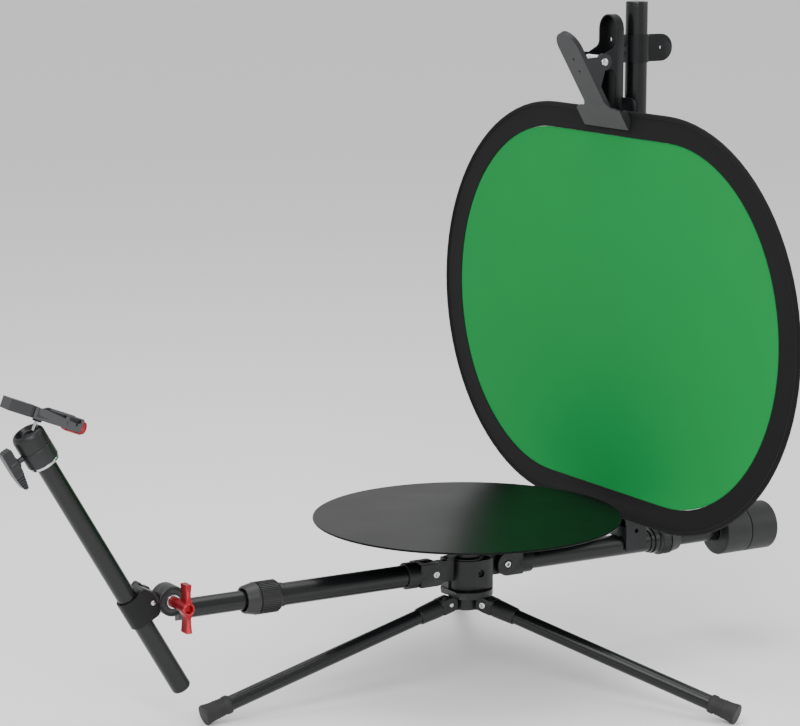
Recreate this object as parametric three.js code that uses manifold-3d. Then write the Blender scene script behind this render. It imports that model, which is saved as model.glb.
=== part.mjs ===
// Orbiting tabletop product-photography stand: a three-leg base with a fixed round platform,
// and two arms that turn around it. One arm carries a camera pole with a ball head and a phone
// clamp; the other carries a backdrop pole and a counterweight.
// Millimetres, +Z up, +X along the arms towards the counterweight. The arm axis is z = 0 and the
// hub axis x = y = 0 while the pieces are placed; the group is then moved to stand on z = 0.
import * as THREE from 'three';
import { mergeVertices } from 'three/addons/utils/BufferGeometryUtils.js';
import Module from 'manifold-3d';

const wasm = await Module();
wasm.setup();

// ---- driving dimensions ----
const GAP = 0.3;                 // clearance between touching pieces
const ROUND = 20;                // sides of an ordinary round piece
const OUTER_R = 12.5;            // 25 mm outer arm tube and backdrop pole
const OUTER_BORE = 11;
const INNER_R = 10.7;            // telescoping tube and camera pole
const INNER_BORE = 9.2;
const LEG_R = 8.4;
const LEG_BORE = 7.2;
const LEG_DROOP = THREE.MathUtils.degToRad(15.1);
const LEG_AZIMUTHS = [180, -60, 60];
const LEG_PIVOT = { rho: 25, z: -39 };
const LEG_LENGTH = 318;          // leg pivot to the end of the foot
const ARM_PIVOT_X = 47;
const PLATFORM = { r: 173.4, top: 59.6, thick: 2.3 };
const COLLAR_R = 18;
const DISC = { x: -371, z: 12.9, r: 16.3, thick: 12 };        // friction joint at the arm's end
const POLE_FOOT_X = -407.1;      // where the camera pole's axis crosses the arm axis
const POLE_TILT = THREE.MathUtils.degToRad(30);
const POLE_LOW = -100.6;         // camera pole ends, measured up along its own axis
const POLE_HIGH = 202.5;
const BALL_UP = 233;             // ball centre along the camera pole's axis
const STEM_LEAN = THREE.MathUtils.degToRad(52);               // ball stem away from the pole's axis
const BACKDROP = { x: 187, z: 274.5, halfW: 353, halfH: 233.5, flat: 110 };
const GREEN = { halfW: 318, halfH: 204, flat: 114 };
const MAST_X = 221.5;            // backdrop pole axis
const MAST_TOP = 627;
const FOLD_Z = 36;               // backdrop pole's fold pivot
const BAND = { z0: 559, z1: 589.6 };
const CLIP = { x: 165, z: 562 };                              // spring clamp's pivot
const CLIP_LEAN = THREE.MathUtils.degToRad(30);

// ---- finishes ----
const FINISH = {
  black_tube: [0x17181a, 0.35, 0.6],
  black_casting: [0x222325, 0.5, 0.3],
  black_plate: [0x1d1e20, 0.35, 0.4],
  black_rubber: [0x141414, 0.85, 0],
  black_steel: [0x2b2c2e, 0.45, 0.6],
  grey_alloy: [0x4a4b4d, 0.4, 0.7],
  silver_steel: [0xc9cacc, 0.25, 1],
  red_alloy: [0xb8323a, 0.3, 0.8],
  iron_weight: [0x202123, 0.55, 0.3],
  green_cloth: [0x2b9a4b, 0.9, 0],
  black_cloth: [0x1b1b1c, 0.9, 0],
};

// ---- solids ----
function solid(geometry) {
  const plain = geometry.index ? geometry.toNonIndexed() : geometry.clone();
  plain.deleteAttribute('normal');
  plain.deleteAttribute('uv');
  const merged = mergeVertices(plain, 1e-4);
  return new wasm.Manifold(new wasm.Mesh({
    numProp: 3,
    vertProperties: new Float32Array(merged.attributes.position.array),
    triVerts: new Uint32Array(merged.index.array),
  }));
}

function geometryOf(manifold) {
  const mesh = manifold.getMesh();
  const geometry = new THREE.BufferGeometry();
  geometry.setAttribute('position', new THREE.BufferAttribute(new Float32Array(mesh.vertProperties), 3));
  geometry.setIndex(new THREE.BufferAttribute(new Uint32Array(mesh.triVerts), 1));
  return geometry;
}

function join(first, ...others) {
  return geometryOf(others.reduce((sum, other) => sum.add(solid(other)), solid(first)));
}

function cut(first, ...tools) {
  return geometryOf(tools.reduce((rest, tool) => rest.subtract(solid(tool)), solid(first)));
}

function common(first, second) {
  return geometryOf(solid(first).intersect(solid(second)));
}

// A profile of [radius, height] points, listed anticlockwise, turned about Z.
function turned(profile, sides = ROUND) {
  const points = profile.map(([r, z]) => new THREE.Vector2(r, z));
  return new THREE.LatheGeometry(points, sides).rotateX(Math.PI / 2);
}

function rod(r, z0, z1, sides = ROUND) {
  return turned([[0, z0], [r, z0], [r, z1], [0, z1]], sides);
}

function sleeve(rOut, rIn, z0, z1, sides = ROUND) {
  return turned([[rIn, z0], [rOut, z0], [rOut, z1], [rIn, z1], [rIn, z0]], sides);
}

function box(x0, x1, y0, y1, z0, z1) {
  const shape = new THREE.BoxGeometry(x1 - x0, y1 - y0, z1 - z0);
  return shape.translate((x0 + x1) / 2, (y0 + y1) / 2, (z0 + z1) / 2);
}

function outline(points) {
  return new THREE.Shape(points.map(([x, y]) => new THREE.Vector2(x, y)));
}

// A flat outline made into a plate from z0 to z1.
function plate(shape, z0, z1, curveSegments = 12) {
  const options = { depth: z1 - z0, bevelEnabled: false, curveSegments };
  return new THREE.ExtrudeGeometry(shape, options).translate(0, 0, z0);
}

// An outline in X and Z made into a plate that spans y0 to y1.
function sidePlate(shape, y0, y1, curveSegments = 12) {
  return plate(shape, -y1, -y0, curveSegments).rotateX(Math.PI / 2);
}

// Turn a piece that was made along +Z so that it lies along +X or +Y.
const alongX = (geometry) => geometry.rotateY(Math.PI / 2);
const alongY = (geometry) => geometry.rotateX(-Math.PI / 2);

function tabShape(x0, x1, halfH, roundR) {
  const shape = new THREE.Shape();
  shape.moveTo(x0, -halfH);
  shape.lineTo(x1 - roundR, -halfH);
  shape.absarc(x1 - roundR, 0, roundR, -Math.PI / 2, Math.PI / 2, false);
  shape.lineTo(x0, halfH);
  shape.closePath();
  return shape;
}

// ---- the assembly ----
const stand = new THREE.Group();

function piece(parent, name, finish, geometry) {
  const [color, roughness, metalness] = FINISH[finish];
  const mesh = new THREE.Mesh(geometry, new THREE.MeshStandardMaterial({ color, roughness, metalness }));
  mesh.name = name;
  parent.add(mesh);
  return mesh;
}

function frameAt(x, y, z) {
  const group = new THREE.Group();
  group.position.set(x, y, z);
  stand.add(group);
  return group;
}

// ---- base ----
const SPIDER_LUG_HALF = 4;

function spider() {
  let body = rod(14.5, -47, -31.3);
  for (const azimuth of LEG_AZIMUTHS) {
    const lug = sidePlate(tabShape(0, LEG_PIVOT.rho + 8, 8, 8), -SPIDER_LUG_HALF, SPIDER_LUG_HALF, 8);
    lug.translate(0, 0, LEG_PIVOT.z);
    const hole = alongY(rod(2.8, -10, 10, 8)).translate(LEG_PIVOT.rho, 0, LEG_PIVOT.z);
    body = join(body, cut(lug, hole).rotateZ(THREE.MathUtils.degToRad(azimuth)));
  }
  return cut(body, rod(8.3, -60, 0, 20));
}

function hexScrew(headR, headT, shankR, length) {
  const screw = turned([[0, -length], [shankR, -length], [shankR, 0], [headR, 0],
    [headR, headT - 0.6], [headR - 0.6, headT], [0, headT]], 12);
  return cut(screw, rod(headR * 0.45, headT - 2, headT + 1, 6));
}

function legCasting() {
  const bodyShape = turned([[0, 11], [10.5, 11], [10.5, 20], [9.6, 39], [0, 39]], 16);
  const cheeks = rod(9.2, 0, 12, 16);
  const ends = alongY(rod(8, -9.2, 9.2, 16));
  const slot = box(-12, 12, -SPIDER_LUG_HALF - GAP, SPIDER_LUG_HALF + GAP, -12, 9.2);
  const blank = join(common(cheeks, box(-8, 8, -9.2, 9.2, -1, 13)), ends, bodyShape);
  const screwHole = alongY(rod(2.8, -12, 12, 8));
  return alongX(cut(blank, slot, screwHole, rod(LEG_R + GAP, 19, 50, 16)));
}

function legTube() {
  return alongX(sleeve(LEG_R, LEG_BORE, 19.5, LEG_LENGTH - 12, 16));
}

function foot() {
  const profile = [[0, -33], [9.6, -33], [10.4, -31], [10.4, -26], [9.6, -24],
    [10, -14], [11.6, -2], [10.8, 0], [0, 0]];
  const barrel = turned(profile, 16).translate(0, 0, LEG_LENGTH);
  return alongX(cut(barrel, rod(LEG_R + GAP, 0, LEG_LENGTH - 11.5, 16)));
}

function legs() {
  LEG_AZIMUTHS.forEach((azimuth, index) => {
    const turn = new THREE.Group();
    turn.rotation.z = THREE.MathUtils.degToRad(azimuth);
    stand.add(turn);
    const leg = new THREE.Group();
    leg.position.set(LEG_PIVOT.rho, 0, LEG_PIVOT.z);
    leg.rotation.y = LEG_DROOP;
    turn.add(leg);
    const id = index + 1;
    piece(leg, `leg_casting_${id}`, 'black_casting', legCasting());
    piece(leg, `leg_tube_${id}`, 'black_tube', legTube());
    piece(leg, `leg_foot_${id}`, 'black_rubber', foot());
    const screw = hexScrew(3.9, 1.6, 2.5, 20).rotateX(Math.PI / 2).translate(0, -9.6, 0);
    if (azimuth === 60) {
      screw.rotateZ(Math.PI);
    }
    piece(leg, `leg_screw_${id}`, 'silver_steel', screw);
  });
}

// The fixed plate that the hub turns on: round, with one flat facing the leg under the camera arm.
function bearingPlate() {
  return cut(sleeve(29.7, 8.3, -31, -18.6, 36), box(-40, -22, -30, 30, -40, 0));
}

function baseStack() {
  piece(stand, 'spider', 'black_casting', spider());
  piece(stand, 'bearing_plate', 'black_casting', bearingPlate());
  piece(stand, 'spindle', 'silver_steel', rod(8, -46, 32, 20));
  const column = turned([[0, 11.4], [19.8, 11.4], [19.8, 13.4], [14.5, 14.4], [14.5, 49],
    [28, 53], [28, PLATFORM.top - PLATFORM.thick - GAP], [0, PLATFORM.top - PLATFORM.thick - GAP]], 24);
  piece(stand, 'platform_column', 'black_casting', cut(column, rod(8.3, 0, 32.5, 24)));
  const { r, top, thick } = PLATFORM;
  const disc = turned([[0, top - thick], [r - 0.6, top - thick], [r, top - thick + 0.6],
    [r, top - 0.6], [r - 0.6, top], [0, top]], 64);
  piece(stand, 'platform_disc', 'black_plate', disc);
}

// ---- hub ----
const HUB_LUG_HALF = 5;

function hubBody() {
  const plan = new THREE.Shape();
  plan.moveTo(0, -20.6);
  plan.lineTo(15.4, -20.6);
  plan.lineTo(25, -16);
  plan.lineTo(25, 20);
  plan.lineTo(-23, 20);
  plan.lineTo(-23, 2);
  plan.lineTo(-20.5, 2);
  plan.absarc(0, 0, 20.6, Math.PI - 0.1, Math.PI * 1.5, false);
  const lug = sidePlate(tabShape(0, ARM_PIVOT_X + 12, 12, 12), -HUB_LUG_HALF, HUB_LUG_HALF, 8);
  const otherLug = lug.clone().rotateZ(Math.PI);
  const rise = box(-29, 29, -HUB_LUG_HALF, HUB_LUG_HALF, 9, 16);
  const blank = join(plate(plan, -18.3, 11, 12), lug, otherLug, rise);
  const pinHole = alongY(rod(3.3, -20, 20, 10));
  return cut(blank, pinHole.clone().translate(ARM_PIVOT_X, 0, 0), pinHole.translate(-ARM_PIVOT_X, 0, 0),
    rod(8.3, -60, 60, 20), rod(20.1, 11.1, 40, 20), alongY(rod(3.6, -30, -14, 10)).translate(6.5, 0, -3));
}

function hub() {
  piece(stand, 'hub_body', 'black_casting', hubBody());
  const setScrew = alongY(cut(rod(3.3, -17.5, -14.2, 14), rod(1.6, -18, -16, 6)));
  piece(stand, 'hub_set_screw', 'black_steel', setScrew.translate(6.5, 0, -3));
}

// ---- arms ----
// A fork on the arm's hub end, made along +X from its pivot.
function armCasting() {
  const cheeks = common(rod(13.3, 0, 20), box(-13.3, 13.3, -13, 13, -1, 21));
  const ends = alongY(rod(13.3, -13, 13));
  const barrel = turned([[0, 16], [13.3, 16], [15, 21], [15, 34.5], [14.2, 35.3], [0, 35.3]]);
  const slot = box(-16, 16, -HUB_LUG_HALF - GAP, HUB_LUG_HALF + GAP, -16, 13.2);
  const hole = alongY(rod(3.3, -20, 20, 10));
  return alongX(cut(join(cheeks, ends, barrel), slot, hole, rod(OUTER_R + GAP, 17, 60)));
}

// The outer tube with its fixed locking rings, made along +X from the arm's pivot.
function outerTube(end, rings) {
  const tube = sleeve(OUTER_R, OUTER_BORE, 17.3, end);
  return alongX(join(tube, ...rings.map(([r, z0, z1]) => sleeve(r, OUTER_R - 0.5, z0, z1))));
}

// The twist-lock collar over the end of the outer tube, made along +X from z0 to z1.
function lockCollar(z0, z1, tubeEnd) {
  const lip = z1 - 16;
  const profile = [[OUTER_R + GAP, z0], [COLLAR_R - 2.5, z0], [COLLAR_R, z0 + 3], [COLLAR_R, lip],
    [COLLAR_R - 1.2, lip + 6], [14.6, z1], [12.6, z1], [12.4, lip + 9], [INNER_R + GAP, lip + 8],
    [INNER_R + GAP, tubeEnd + GAP], [OUTER_R + GAP, tubeEnd + GAP], [OUTER_R + GAP, z0]];
  return alongX(turned(profile, 24));
}

const LEFT = { collar: [194.6, 236], tubeEnd: 215.5, inner: [83, 305] };
const RIGHT = { collar: [210, 239.4], tubeEnd: 219, inner: [103, 352] };

function arm(side, direction, size, rings) {
  const group = frameAt(direction * ARM_PIVOT_X, 0, 0);
  group.rotation.z = direction < 0 ? Math.PI : 0;
  piece(group, `${side}_arm_casting`, 'black_casting', armCasting());
  piece(group, `${side}_outer_tube`, 'black_tube', outerTube(size.tubeEnd, rings));
  piece(group, `${side}_lock_collar`, 'black_rubber', lockCollar(...size.collar, size.tubeEnd));
  piece(group, `${side}_inner_tube`, 'black_tube', alongX(sleeve(INNER_R, INNER_BORE, ...size.inner)));
  const screw = hexScrew(4, 2, 3, 27).rotateX(Math.PI / 2).translate(0, -13.3, 0);
  if (direction < 0) {
    screw.rotateZ(Math.PI);
  }
  piece(group, `${side}_arm_screw`, 'silver_steel', screw);
}

// ---- friction joint at the end of the camera arm ----
function armEndLug() {
  const disc = alongY(turned([[0, -DISC.thick], [12.5, -DISC.thick + 1.6], [14.6, -DISC.thick],
    [DISC.r, -DISC.thick + 1], [DISC.r, -0.15], [0, -0.15]], 24)).translate(DISC.x, 0, DISC.z);
  const spigot = alongX(rod(INNER_BORE - GAP, -362, -330, 20));
  const stub = alongX(rod(11.6, -364, -352.4, 20));
  const web = box(-372, -354, -9, -0.15, -3, 11);
  const opening = alongY(rod(4.3, -20, 20, 14)).translate(DISC.x, 0, DISC.z);
  const rearSide = common(stub, box(-354.2, -350, -20, 20, -20, 20));
  const frontSide = common(stub, box(-370, -350, -20, -0.15, -20, 20));
  const inTube = common(spigot, box(-353, -329, -20, 20, -20, 20));
  return cut(join(disc, web, rearSide, frontSide, inTube), opening);
}

// Along-the-pole coordinates: the group's +Z runs up the camera pole, +X towards the arm.
const pole = frameAt(POLE_FOOT_X, 0, 0);
pole.rotation.y = -POLE_TILT;

function inPole(x, z) {
  const dx = x - POLE_FOOT_X;
  return [dx * Math.cos(POLE_TILT) + z * Math.sin(POLE_TILT),
    -dx * Math.sin(POLE_TILT) + z * Math.cos(POLE_TILT)];
}

const [DISC_P, DISC_U] = inPole(DISC.x, DISC.z);
const EAR_BOLT = { p: 17.6, u: 7.2 };

function earOutline() {
  return outline([[-14, -9], [16, -9], [20.3, -6], [22.1, 1], [23.4, 13], [20.5, 20.5], [17, 23.5],
    [-14, 23.5]]);
}

function strap() {
  const inner = INNER_R + GAP;
  const outer = inner + 2;
  const profile = new THREE.Shape();
  profile.moveTo(30, -outer);
  profile.lineTo(30, -inner);
  profile.lineTo(0, -inner);
  profile.absarc(0, 0, inner, Math.PI * 1.5, Math.PI / 2, true);
  profile.lineTo(30, inner);
  profile.lineTo(30, outer);
  profile.lineTo(0, outer);
  profile.absarc(0, 0, outer, Math.PI / 2, Math.PI * 1.5, false);
  const channel = plate(profile, -20, 30, 14);
  const bolt = alongY(rod(3.3, -20, 20, 10)).translate(EAR_BOLT.p, 0, EAR_BOLT.u);
  return cut(common(channel, sidePlate(earOutline(), -16, 16)), bolt);
}

function clampBlock() {
  const rearDisc = alongY(rod(DISC.r, 0.15, DISC.thick, 24)).translate(DISC_P, 0, DISC_U);
  const blockShape = outline([[8.5, -7], [14, -7], [19, -5], [38, -21], [38, -2], [24, 17], [18, 26],
    [14, 26], [8.5, 21]]);
  const block = sidePlate(blockShape, -INNER_R, INNER_R);
  const poleSeat = rod(INNER_R + GAP, -40, 40);
  const frontRoom = alongY(rod(DISC.r + 0.6, -30, 0.15, 24)).translate(DISC_P, 0, DISC_U);
  const bolt = alongY(rod(3.3, -20, 20, 10)).translate(EAR_BOLT.p, 0, EAR_BOLT.u);
  const screw = alongY(rod(4.3, -20, 10.4, 14)).translate(DISC_P, 0, DISC_U);
  const frontTrim = box(26, 60, -30, 0.15, -60, 60);
  return cut(join(rearDisc, cut(block, frontRoom, frontTrim)), poleSeat, bolt, screw);
}

function strapBolt() {
  const bolt = turned([[0, -15], [2.6, -15], [3, -14.5], [3, 30], [0, 30]], 14);
  return alongY(bolt).translate(EAR_BOLT.p, 0, EAR_BOLT.u);
}

function strapKnob() {
  const hubPiece = rod(7, 13.5, 33, 16);
  const grip = new THREE.Shape();
  const lobes = 6;
  for (let step = 0; step < lobes * 4; step += 1) {
    const angle = (step / (lobes * 4)) * Math.PI * 2;
    const r = 13 + 1.6 * Math.cos(lobes * angle);
    grip[step ? 'lineTo' : 'moveTo'](r * Math.cos(angle), r * Math.sin(angle));
  }
  const knob = join(hubPiece, plate(grip, 20, 32));
  return alongY(cut(knob, rod(3.3, 0, 30.4, 10))).translate(EAR_BOLT.p, 0, EAR_BOLT.u);
}

// The red handle: a hub and two flat wings on a screw through both discs.
function tensionHandle() {
  const wing = outline([[-3.4, -26], [3.4, -26], [2.6, -18], [2.6, -8], [4, -5], [4, 5], [2.6, 8], [2.6, 18],
    [3.4, 26], [-3.4, 26], [-2.6, 18], [-2.6, 8], [-4, 5], [-4, -5], [-2.6, -8], [-2.6, -18]]);
  const wings = sidePlate(wing, -50, -36);
  const post = alongY(rod(5.8, -48, -13.9, 16));
  const boss = alongY(rod(7, -50, -38, 16));
  const screw = alongY(rod(4, -20, 10, 12));
  const recess = alongY(rod(4.6, -51, -43, 12));
  return cut(join(wings, post, boss, screw), recess).translate(DISC.x, 0, DISC.z);
}

function handleWasher() {
  return alongY(sleeve(7.6, 4.3, -13.5, -12.2, 24)).translate(DISC.x, 0, DISC.z);
}

// ---- camera pole and ball head, in the pole's frame ----
function cameraPole() {
  const wallEnd = POLE_LOW + 3;
  return turned([[0, POLE_LOW], [INNER_R - 0.8, POLE_LOW], [INNER_R, POLE_LOW + 0.8], [INNER_R, POLE_HIGH],
    [INNER_BORE, POLE_HIGH], [INNER_BORE, wallEnd], [0, wallEnd]]);
}

const HEAD = { base: 202.8, bottom: 206.1, r: 17.5, rim: 243, knobUp: 221 };

function headBaseRing() {
  return turned([[0, 188], [INNER_BORE - GAP, 188], [INNER_BORE - GAP, HEAD.base], [16.6, HEAD.base],
    [16.6, HEAD.bottom - GAP], [0, HEAD.bottom - GAP]], 32);
}

function headHousing() {
  const { r, bottom, rim } = HEAD;
  const shell = turned([[0, bottom], [r - 1, bottom], [r, bottom + 1], [r, rim - 5], [r - 1, rim - 1.6],
    [r - 3.2, rim], [0, rim]], 24);
  const cavity = new THREE.SphereGeometry(10.5, 16, 10).rotateX(Math.PI / 2).translate(0, 0, BALL_UP);
  const mouth = turned([[0, BALL_UP], [9.4, BALL_UP], [9.4, BALL_UP + 5], [12.6, rim + 1], [0, rim + 1]], 20);
  const slotBox = box(0, 30, -4.6, 4.6, BALL_UP - 2, rim + 2);
  const knobHole = alongX(rod(3.4, -30, -11, 10)).translate(0, 0, HEAD.knobUp);
  const well = alongX(rod(3.4, -12, -9, 10)).translate(0, 0, HEAD.knobUp);
  return cut(shell, cavity, mouth, slotBox, knobHole, well);
}

// The clamping knob: a screw into the housing and a lever-like wing.
function headKnob() {
  const screw = alongX(rod(3.1, -26, -12.5, 10)).translate(0, 0, HEAD.knobUp);
  const boss = alongX(turned([[0, -36], [5, -36], [7, -33], [7, -25], [5.5, -23], [0, -23]], 16))
    .translate(0, 0, HEAD.knobUp);
  const lever = sidePlate(outline([[-36, -9], [-33.5, -28], [-28.5, -28], [-24, -8], [-24, 8], [-28, 18],
    [-35.5, 18], [-36, 9]]), -4.4, 4.4);
  return join(screw, boss, lever.translate(0, 0, HEAD.knobUp));
}

// The ball and its stem lean inside the housing; the phone clamp sits square on the stem.
const ball = new THREE.Group();
ball.position.set(0, 0, BALL_UP);
ball.rotation.y = STEM_LEAN;
pole.add(ball);
const STEM_TOP = 21.6;

function ballStem() {
  const sphere = new THREE.SphereGeometry(10, 16, 10).rotateX(Math.PI / 2);
  const stem = turned([[0, 0], [3.2, 0], [3.2, STEM_TOP - 2], [6, STEM_TOP - 2], [6, STEM_TOP],
    [2.9, STEM_TOP], [2.9, STEM_TOP + 2.3], [0, STEM_TOP + 2.3]], 12);
  return join(sphere, stem);
}

const PHONE = {
  z: STEM_TOP + GAP, left: -38, right: 46.5, high: 12.5, y0: -9, y1: 14.5, screwY: 2.6, screwZ: 5.2,
};

function clampFrame() {
  const { right, high, y0, y1, screwY, screwZ } = PHONE;
  const base = box(-9.5, 30, y0, y1, 0, 3.4);
  const front = box(-9.5, right, y0, y0 + 2.4, 0, high);
  const rear = box(8, right, y1 - 2.4, y1, 0, high + 2);
  const head = box(-9.5, -5, y0, y1, 0, high);
  const bearing = box(26, 30, y0, y1, 0, high);
  const screwHole = alongX(rod(2.9, -40, 40, 14)).translate(0, screwY, screwZ);
  const stemHole = rod(3.2, -1, 3.8, 14);
  return cut(join(base, front, rear, head, bearing), screwHole, stemHole).translate(0, 0, PHONE.z);
}

function clampJaw() {
  const { left, high, y0, y1, screwY, screwZ } = PHONE;
  const block = box(left, -13, y0, y1, 0, high);
  const pad = box(-13, -9.9, y0 + 0.6, y1 - 0.6, 0.6, high - 0.6);
  const screwHole = alongX(rod(2.9, -34, 0, 14)).translate(0, screwY, screwZ);
  return cut(join(block, pad), screwHole).translate(0, 0, PHONE.z);
}

function clampKnob() {
  const screw = alongX(rod(2.5, -33, 34, 14));
  const grip = alongX(turned([[0, 30.4], [7.3, 30.4], [7.9, 31], [7.9, 52], [6.7, 54.5], [0, 54.5]], 28));
  return join(screw, grip).translate(0, PHONE.screwY, PHONE.screwZ + PHONE.z);
}

function cameraSide() {
  piece(stand, 'arm_end_lug', 'black_casting', armEndLug());
  piece(stand, 'tension_handle', 'red_alloy', tensionHandle());
  piece(stand, 'handle_washer', 'silver_steel', handleWasher());
  piece(pole, 'clamp_block', 'black_casting', clampBlock());
  piece(pole, 'pole_strap', 'black_steel', strap());
  piece(pole, 'strap_bolt', 'silver_steel', strapBolt());
  piece(pole, 'strap_knob', 'black_rubber', strapKnob());
  piece(pole, 'camera_pole', 'black_tube', cameraPole());
  piece(pole, 'head_base_ring', 'silver_steel', headBaseRing());
  piece(pole, 'head_housing', 'black_casting', headHousing());
  piece(pole, 'head_knob', 'grey_alloy', headKnob());
  piece(ball, 'ball_stem', 'silver_steel', ballStem());
  piece(ball, 'phone_clamp_frame', 'grey_alloy', clampFrame());
  piece(ball, 'phone_clamp_jaw', 'grey_alloy', clampJaw());
  piece(ball, 'phone_clamp_knob', 'red_alloy', clampKnob());
}

// ---- counterweight ----
function counterweights() {
  const r = 28.5;
  const inner = turned([[OUTER_BORE, 345], [13.5, 344.2], [r - 1.5, 345], [r, 346.5], [r, 379.2],
    [r - 1.2, 380.3], [OUTER_BORE, 380.3], [OUTER_BORE, 345]], 28);
  const outer = turned([[0, 380.7], [r - 1.2, 380.7], [r, 381.8], [r, 416.5], [r - 1.5, 418], [0, 418]], 28);
  piece(stand, 'counterweight_inner', 'iron_weight', alongX(inner));
  piece(stand, 'counterweight_outer', 'iron_weight', alongX(cut(outer, rod(OUTER_BORE, 370, 401, 20))));
}

// ---- backdrop pole ----
const BRACKET = { half: 14.2, y0: 13.2, y1: 15.5, low: -4.2 };

function poleBracket() {
  const { half, y0, y1, low } = BRACKET;
  const cheek = new THREE.Shape();
  cheek.moveTo(-half, low);
  cheek.lineTo(half, low);
  cheek.lineTo(half, FOLD_Z);
  cheek.absarc(0, FOLD_Z, half, 0, Math.PI, false);
  cheek.closePath();
  const front = sidePlate(cheek, -y1, -y0, 10);
  const rear = sidePlate(cheek, y0, y1, 10);
  const saddle = box(-half, half, -y0 - 1, y0 + 1, 6, 23.5);
  const stub = box(-21, -half + 1, -7, 8, 12, 23.5);
  const tube = alongX(rod(OUTER_R + GAP, -60, 60, 20));
  const pivot = alongY(rod(3.3, -20, 20, 14)).translate(0, 0, FOLD_Z);
  const screwHole = alongY(rod(2.6, -20, -9, 14)).translate(0, 0, 18);
  return cut(join(front, rear, saddle, stub), tube, pivot, screwHole).translate(MAST_X, 0, 0);
}

function foldBolt() {
  const bolt = turned([[0, -17.6], [5, -17.6], [5, -15.8], [3, -15.8], [3, 15.8], [5, 15.8], [5, 18.4],
    [0, 18.4]], 16);
  return alongY(bolt).translate(MAST_X, 0, FOLD_Z);
}

function poleSocket() {
  const tongue = join(alongY(rod(11.6, -12.9, 12.9, 24)), box(-11.6, 11.6, -12.9, 12.9, 0, 18));
  const cup = rod(15.4, 17, 46, 28);
  const pivot = alongY(rod(3.3, -20, 20, 14));
  return cut(join(tongue, cup), pivot, rod(OUTER_R + GAP, 20, 60, 28)).translate(MAST_X, 0, FOLD_Z);
}

function backdropPole() {
  const low = FOLD_Z + 20.4;
  return turned([[OUTER_BORE, low], [OUTER_R, low], [OUTER_R, MAST_TOP - 0.8], [OUTER_R - 0.8, MAST_TOP],
    [0, MAST_TOP], [0, MAST_TOP - 4], [OUTER_BORE, MAST_TOP - 4], [OUTER_BORE, low]]).translate(MAST_X, 0, 0);
}

// One half of the band: a half ring with a long ear on one side and a short tab on the other.
function bandHalf(side) {
  const inner = OUTER_R + GAP;
  const outer = inner + 1.6;
  const reach = (y) => Math.sqrt(outer * outer - y * y);
  const profile = new THREE.Shape();
  profile.moveTo(-Math.sqrt(inner * inner - 1.9 * 1.9), -1.9);
  profile.lineTo(-24.8, -1.9);
  profile.lineTo(-24.8, -3.5);
  profile.lineTo(-reach(3.5), -3.5);
  const start = Math.PI + Math.asin(3.5 / outer);
  const end = Math.PI * 2 - Math.asin(1.9 / outer);
  profile.absarc(0, 0, outer, start, end, false);
  profile.lineTo(48.1, -1.9);
  profile.lineTo(48.1, -0.2);
  profile.lineTo(Math.sqrt(inner * inner - 0.04), -0.2);
  profile.absarc(0, 0, inner, Math.PI * 2 - Math.asin(0.2 / inner), Math.PI + Math.asin(1.9 / inner), true);
  const height = BAND.z1 - BAND.z0;
  const strip = plate(profile, -height / 2, height / 2, 12);
  const earEnd = sidePlate(tabShape(-30, 48.1, height / 2, height / 2), -30, 30, 12);
  const holes = [alongY(rod(2.2, -20, 20, 10)).translate(32.7, 0, 0),
    alongY(rod(2.3, -20, 20, 8)).translate(-19.6, 0, 0)];
  const half = cut(common(strip, earEnd), ...holes);
  if (side > 0) {
    half.rotateX(Math.PI);
  }
  return half.translate(MAST_X, 0, (BAND.z0 + BAND.z1) / 2);
}

function bandBolt() {
  const bolt = turned([[0, -6], [3.6, -6], [3.6, -3.8], [2, -3.8], [2, 3.8], [3.6, 3.8], [3.6, 6.2],
    [0, 6.2]], 12);
  return alongY(bolt).translate(MAST_X - 19.6, 0, (BAND.z0 + BAND.z1) / 2);
}

// ---- spring clamp ----
const REAR = { x: 190.4, web: 2, half: 17.5, top: 613.5, flange: 1.5 };
const JAW_HALF = 43.5;

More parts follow.
